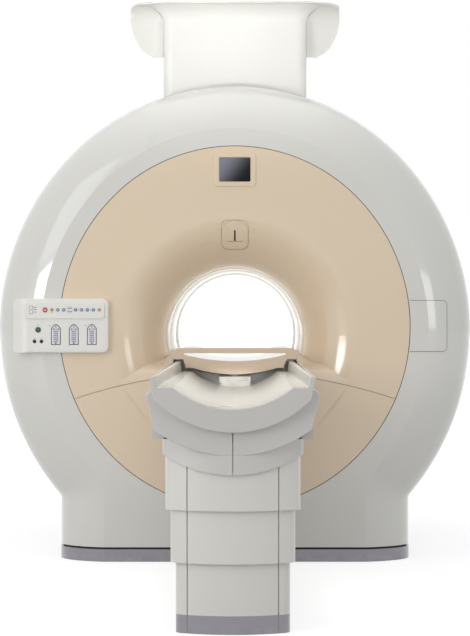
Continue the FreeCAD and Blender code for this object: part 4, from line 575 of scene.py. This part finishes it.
def roundedPlate(low, high, corner):
    made = bmesh.new()
    drawPlate(made, drawingPlace((low[0] + high[0]) / 2, (low[1] + high[1]) / 2,
                                 high[0] - low[0], high[1] - low[1]))
    bmesh.ops.bevel(made, geom=made.verts[:], offset=corner, offset_type="OFFSET", affect="VERTICES",
                    segments=shadowStripMesh["cornerSegments"], profile=0.5, material=-1)
    straight = [edge for edge in made.edges if edge.calc_length() > corner]
    bmesh.ops.subdivide_edges(made, edges=straight, cuts=shadowStripMesh["straightCuts"])
    return made


hatchJoint = {"low": (0.700, 0.932), "high": (0.941, 1.156), "corner": 0.018, "start": 0.7752,
              "gap": 0.002, "width": 0.0016, "thickness": 0.0012, "slot": "seal_black"}
intercomJoint = {"low": (-0.0585, 1.387), "high": (0.0585, 1.512), "corner": 0.026,
                 "gap": 0.002, "width": 0.0014, "thickness": 0.0012, "slot": "coil_resin"}


def paintGrooveShadow(name, node, look):
    # a dark strip in the groove round an inset cover, painted shade for the shadow in the groove; with a
    # start, only what is right of it is made
    edge = look["gap"] / 2 + look["width"] / 2
    low = [value - edge for value in look["low"]]
    high = [value + edge for value in look["high"]]
    made = roundedPlate(low, high, look["corner"] + edge)
    keepRim(made, made.faces[:], look["width"])
    if "start" in look:
        bmesh.ops.bisect_plane(made, geom=made.verts[:] + made.edges[:] + made.faces[:],
                               plane_co=(look["start"], 0, 0), plane_no=(1, 0, 0), clear_inner=True)
    layOn(made, node)
    raiseFaces(made, look["thickness"])
    addPiece(name, made, "scanner", look["slot"])


intercomScore = {"level": 1.4198, "size": (0.066, 0.0018), "thickness": 0.0006, "slot": "coil_resin"}


# a dark strip along the score line of the intercom cover: painted shade for the shadow in the score
def paintScoreShadow(look):
    made = bmesh.new()
    drawPlate(made, drawingPlace(0, look["level"], *look["size"]), shadowStripMesh["straightCuts"])
    layOn(made, "intercom_cover")
    raiseFaces(made, look["thickness"])
    addPiece("intercomScorePaintedShadow", made, "scanner", look["slot"])


faceJoint = {"half": (0.776, 0.801), "height": 1.040, "arcSteps": 40, "width": 0.0026,
             "front": -0.7972, "back": -0.7938, "slot": "seal_black"}


# a dark strip in the joint round the beige face: painted shade for the shadow in the gap
def paintFaceJointShadow(look):
    # four tangent arcs of a quarter turn, as the face has them
    halfWide, halfTall = look["half"]
    shift = (halfTall - halfWide) / (2 - math.sqrt(2))
    reach = (halfWide + shift + look["width"] / 2) / math.sqrt(2)
    made = bmesh.new()
    turned = [made.verts.new((reach - shift, look["back"], look["height"] - reach))]
    for across, up in ((-shift, 0), (0, shift), (shift, 0), (0, -shift)):
        turned = bmesh.ops.spin(made, geom=turned, cent=(across, look["back"], look["height"] + up),
                                axis=(0, -1, 0), angle=math.radians(90), steps=look["arcSteps"])
        turned = [item for item in turned["geom_last"] if isinstance(item, bmesh.types.BMVert)]
    bmesh.ops.remove_doubles(made, verts=made.verts, dist=look["width"] / 10)
    bmesh.ops.edgeloop_fill(made, edges=made.edges)
    keepRim(made, made.faces[:], look["width"])
    raiseFaces(made, look["back"] - look["front"])
    addPiece("faceJointPaintedShadow", made, "scanner", look["slot"])


paintGrooveShadow("blankCoverPaintedShadow", "front_cover", hatchJoint)
paintGrooveShadow("intercomPaintedShadow", "funnel_upper_cover", intercomJoint)
paintFaceJointShadow(faceJoint)
paintScoreShadow(intercomScore)
print("painted joint shadows laid")


# camera and studio

# the camera looks along Y, and straight ahead of it lies the picture's pixel "vanishing"
photoCamera = {"place": (0.030, -9.3, 1.11), "lens": 108.7, "sensor": 36.0, "sight": 200.0,
               "vanishing": (241.6, 311.0), "picture": (470, 636)}


def placeCamera(look):
    width, height = look["picture"]
    lens = bpy.data.cameras.new("photoCamera")
    lens.lens = look["lens"]
    lens.sensor_width = look["sensor"]
    lens.shift_x = (width / 2 - look["vanishing"][0]) / height
    lens.shift_y = (look["vanishing"][1] - height / 2) / height
    lens.clip_end = look["sight"]
    camera = bpy.data.objects.new("photoCamera", lens)
    camera.location = look["place"]
    camera.rotation_euler = (math.radians(90), 0, 0)
    scene.collection.objects.link(camera)
    scene.camera = camera


# a lamp without glossy gives fill and no highlight, one without diffuse only a highlight
softboxes = {
    "keySoftbox": {"place": (-4.6, -6.2, 4.2), "aim": (0.0, -0.8, 1.3), "size": (3.0, 3.0), "watts": 56},
    "topSoftbox": {"place": (0.0, -1.0, 5.6), "aim": (0.0, -1.0, 0.0), "size": (4.0, 4.0), "watts": 31},
    "leftBox": {"place": (-4.1, -6.0, 1.75), "aim": (0.0, -0.8, 1.2), "size": (2.2, 1.5), "watts": 42,
                "glossy": False},
    "streakLeft": {"place": (-4.1, -6.0, 1.7), "aim": (0.0, -0.8, 1.2), "size": (2.4, 1.2), "watts": 115,
                   "diffuse": False},
    "rightBox": {"place": (4.2, -6.4, 1.7), "aim": (0.0, -0.8, 1.2), "size": (1.5, 1.5), "watts": 11,
                 "glossy": False},
    "streakRight": {"place": (4.2, -6.4, 1.6), "aim": (0.0, -0.8, 1.2), "size": (1.8, 1.2), "watts": 28,
                    "diffuse": False},
    "boreGlow": {"place": (0.0, 0.35, 1.02), "aim": (0.0, -1.0, 1.02), "size": (0.4, 0.3), "watts": 1.8,
                 "tint": (1.0, 0.93, 0.80), "glossy": False},
    "tableFill": {"place": (0.0, -2.3, 2.7), "aim": (0.0, -2.1, 0.8), "size": (0.5, 1.0), "watts": 1.3,
                  "spread": 35, "tint": (0.86, 0.94, 1.0)},
    "troughFill": {"place": (0.0, -1.3, 0.797), "aim": (0.0, -0.8, 0.812), "size": (0.3, 0.02),
                   "watts": 0.035, "spread": 24, "glossy": False},
    "hoodLeft": {"place": (-1.1, -3.0, 1.5), "aim": (-0.15, -0.45, 2.47), "size": (0.7, 0.4),
                 "watts": 0.78, "spread": 24},
    "hoodRight": {"place": (1.1, -3.0, 1.5), "aim": (0.15, -0.45, 2.47), "size": (0.7, 0.4),
                  "watts": 0.62, "spread": 24},
}
worldLook = {"light": (0.985, 0.99, 1.0), "strength": 0.69, "background": (1.0, 1.0, 1.0)}
floorLook = {"size": 60.0, "colour": (0.42, 0.42, 0.42), "bounce": (0.6, 0.6, 0.6),
             "near": 3.2, "far": 6.5, "glowNear": 0.72, "glowFar": 1.02}


def hangSoftbox(name, look):
    lamp = bpy.data.lights.new(name, "AREA")
    lamp.shape = "RECTANGLE"
    lamp.size, lamp.size_y = look["size"]
    lamp.energy = look["watts"]
    lamp.color = look.get("tint", (1.0, 1.0, 1.0))
    lamp.spread = math.radians(look.get("spread", 180))
    box = bpy.data.objects.new(name, lamp)
    box.location = look["place"]
    box.visible_camera = False
    box.visible_glossy = look.get("glossy", True)
    box.visible_diffuse = look.get("diffuse", True)
    towards = Vector(look["aim"]) - Vector(look["place"])
    box.rotation_euler = towards.to_track_quat("-Z", "Y").to_euler()
    scene.collection.objects.link(box)


def lookedAt(tree, place):
    # 1 for rays that come from the camera or from a mirror or glass, else 0
    path = addNode(tree, "LightPath", place)
    first = addNode(tree, "Math", (place[0] + 1, place[1]), {"operation": "ADD"})
    wire(tree, path, "Is Camera Ray", first, 0)
    wire(tree, path, "Is Glossy Ray", first, 1)
    second = addNode(tree, "Math", (place[0] + 2, place[1]), {"operation": "ADD", "use_clamp": True})
    wire(tree, first, 0, second, 0)
    wire(tree, path, "Is Transmission Ray", second, 1)
    return second


def mixSeen(tree, seen, other, shown, output):
    # shown where it is looked at, and other for the light that it throws on the rest
    mix = addNode(tree, "MixShader", (3, 0))
    wire(tree, seen, 0, mix, "Fac")
    wire(tree, other, 0, mix, 1)
    wire(tree, shown, 0, mix, 2)
    wire(tree, mix, 0, output, "Surface")


def setWorld(look):
    world = bpy.data.worlds.new("studio")
    world.use_nodes = True
    tree = world.node_tree
    light = tree.nodes["Background"]
    light.inputs["Color"].default_value = (*look["light"], 1)
    light.inputs["Strength"].default_value = look["strength"]
    shown = addNode(tree, "Background", (0, 2), values={"Color": (*look["background"], 1)})
    mixSeen(tree, lookedAt(tree, (-4, 0)), light, shown, tree.nodes["World Output"])
    scene.world = world


def layFloor(look):
    made = bmesh.new()
    bmesh.ops.create_grid(made, x_segments=1, y_segments=1, size=look["size"])
    floor = meshObject("studioFloor", made)
    material, tree, shader = newMaterial("studioFloor")
    tree.nodes.remove(shader)
    where = addNode(tree, "TexCoord", (-5, 0))
    distance = addNode(tree, "VectorMath", (-4, 0), {"operation": "LENGTH"})
    wire(tree, where, "Object", distance, 0)
    away = addNode(tree, "MapRange", (-3, 0), {"interpolation_type": "SMOOTHSTEP"},
                   {"From Min": look["near"], "From Max": look["far"]})
    wire(tree, distance, "Value", away, "Value")
    strength = addNode(tree, "MapRange", (-1, 1), values={"To Min": look["glowNear"],
                                                          "To Max": look["glowFar"]})
    wire(tree, away, 0, strength, "Value")
    glow = addNode(tree, "Emission", (0, 1))
    wire(tree, strength, 0, glow, "Strength")
    diffuse = addNode(tree, "BsdfDiffuse", (0, 0), values={"Color": (*look["colour"], 1)})
    lit = addNode(tree, "AddShader", (1, 0))
    wire(tree, diffuse, 0, lit, 0)
    wire(tree, glow, 0, lit, 1)
    plain = addNode(tree, "BsdfDiffuse", (1, 2), values={"Color": (*look["bounce"], 1)})
    mixSeen(tree, lookedAt(tree, (-3, 4)), plain, lit, tree.nodes["Material Output"])
    floor.data.materials.append(material)


placeCamera(photoCamera)
for boxName, boxLook in softboxes.items():
    hangSoftbox(boxName, boxLook)
setWorld(worldLook)
layFloor(floorLook)
scene.view_settings.view_transform = "Standard"
print("camera and studio set")
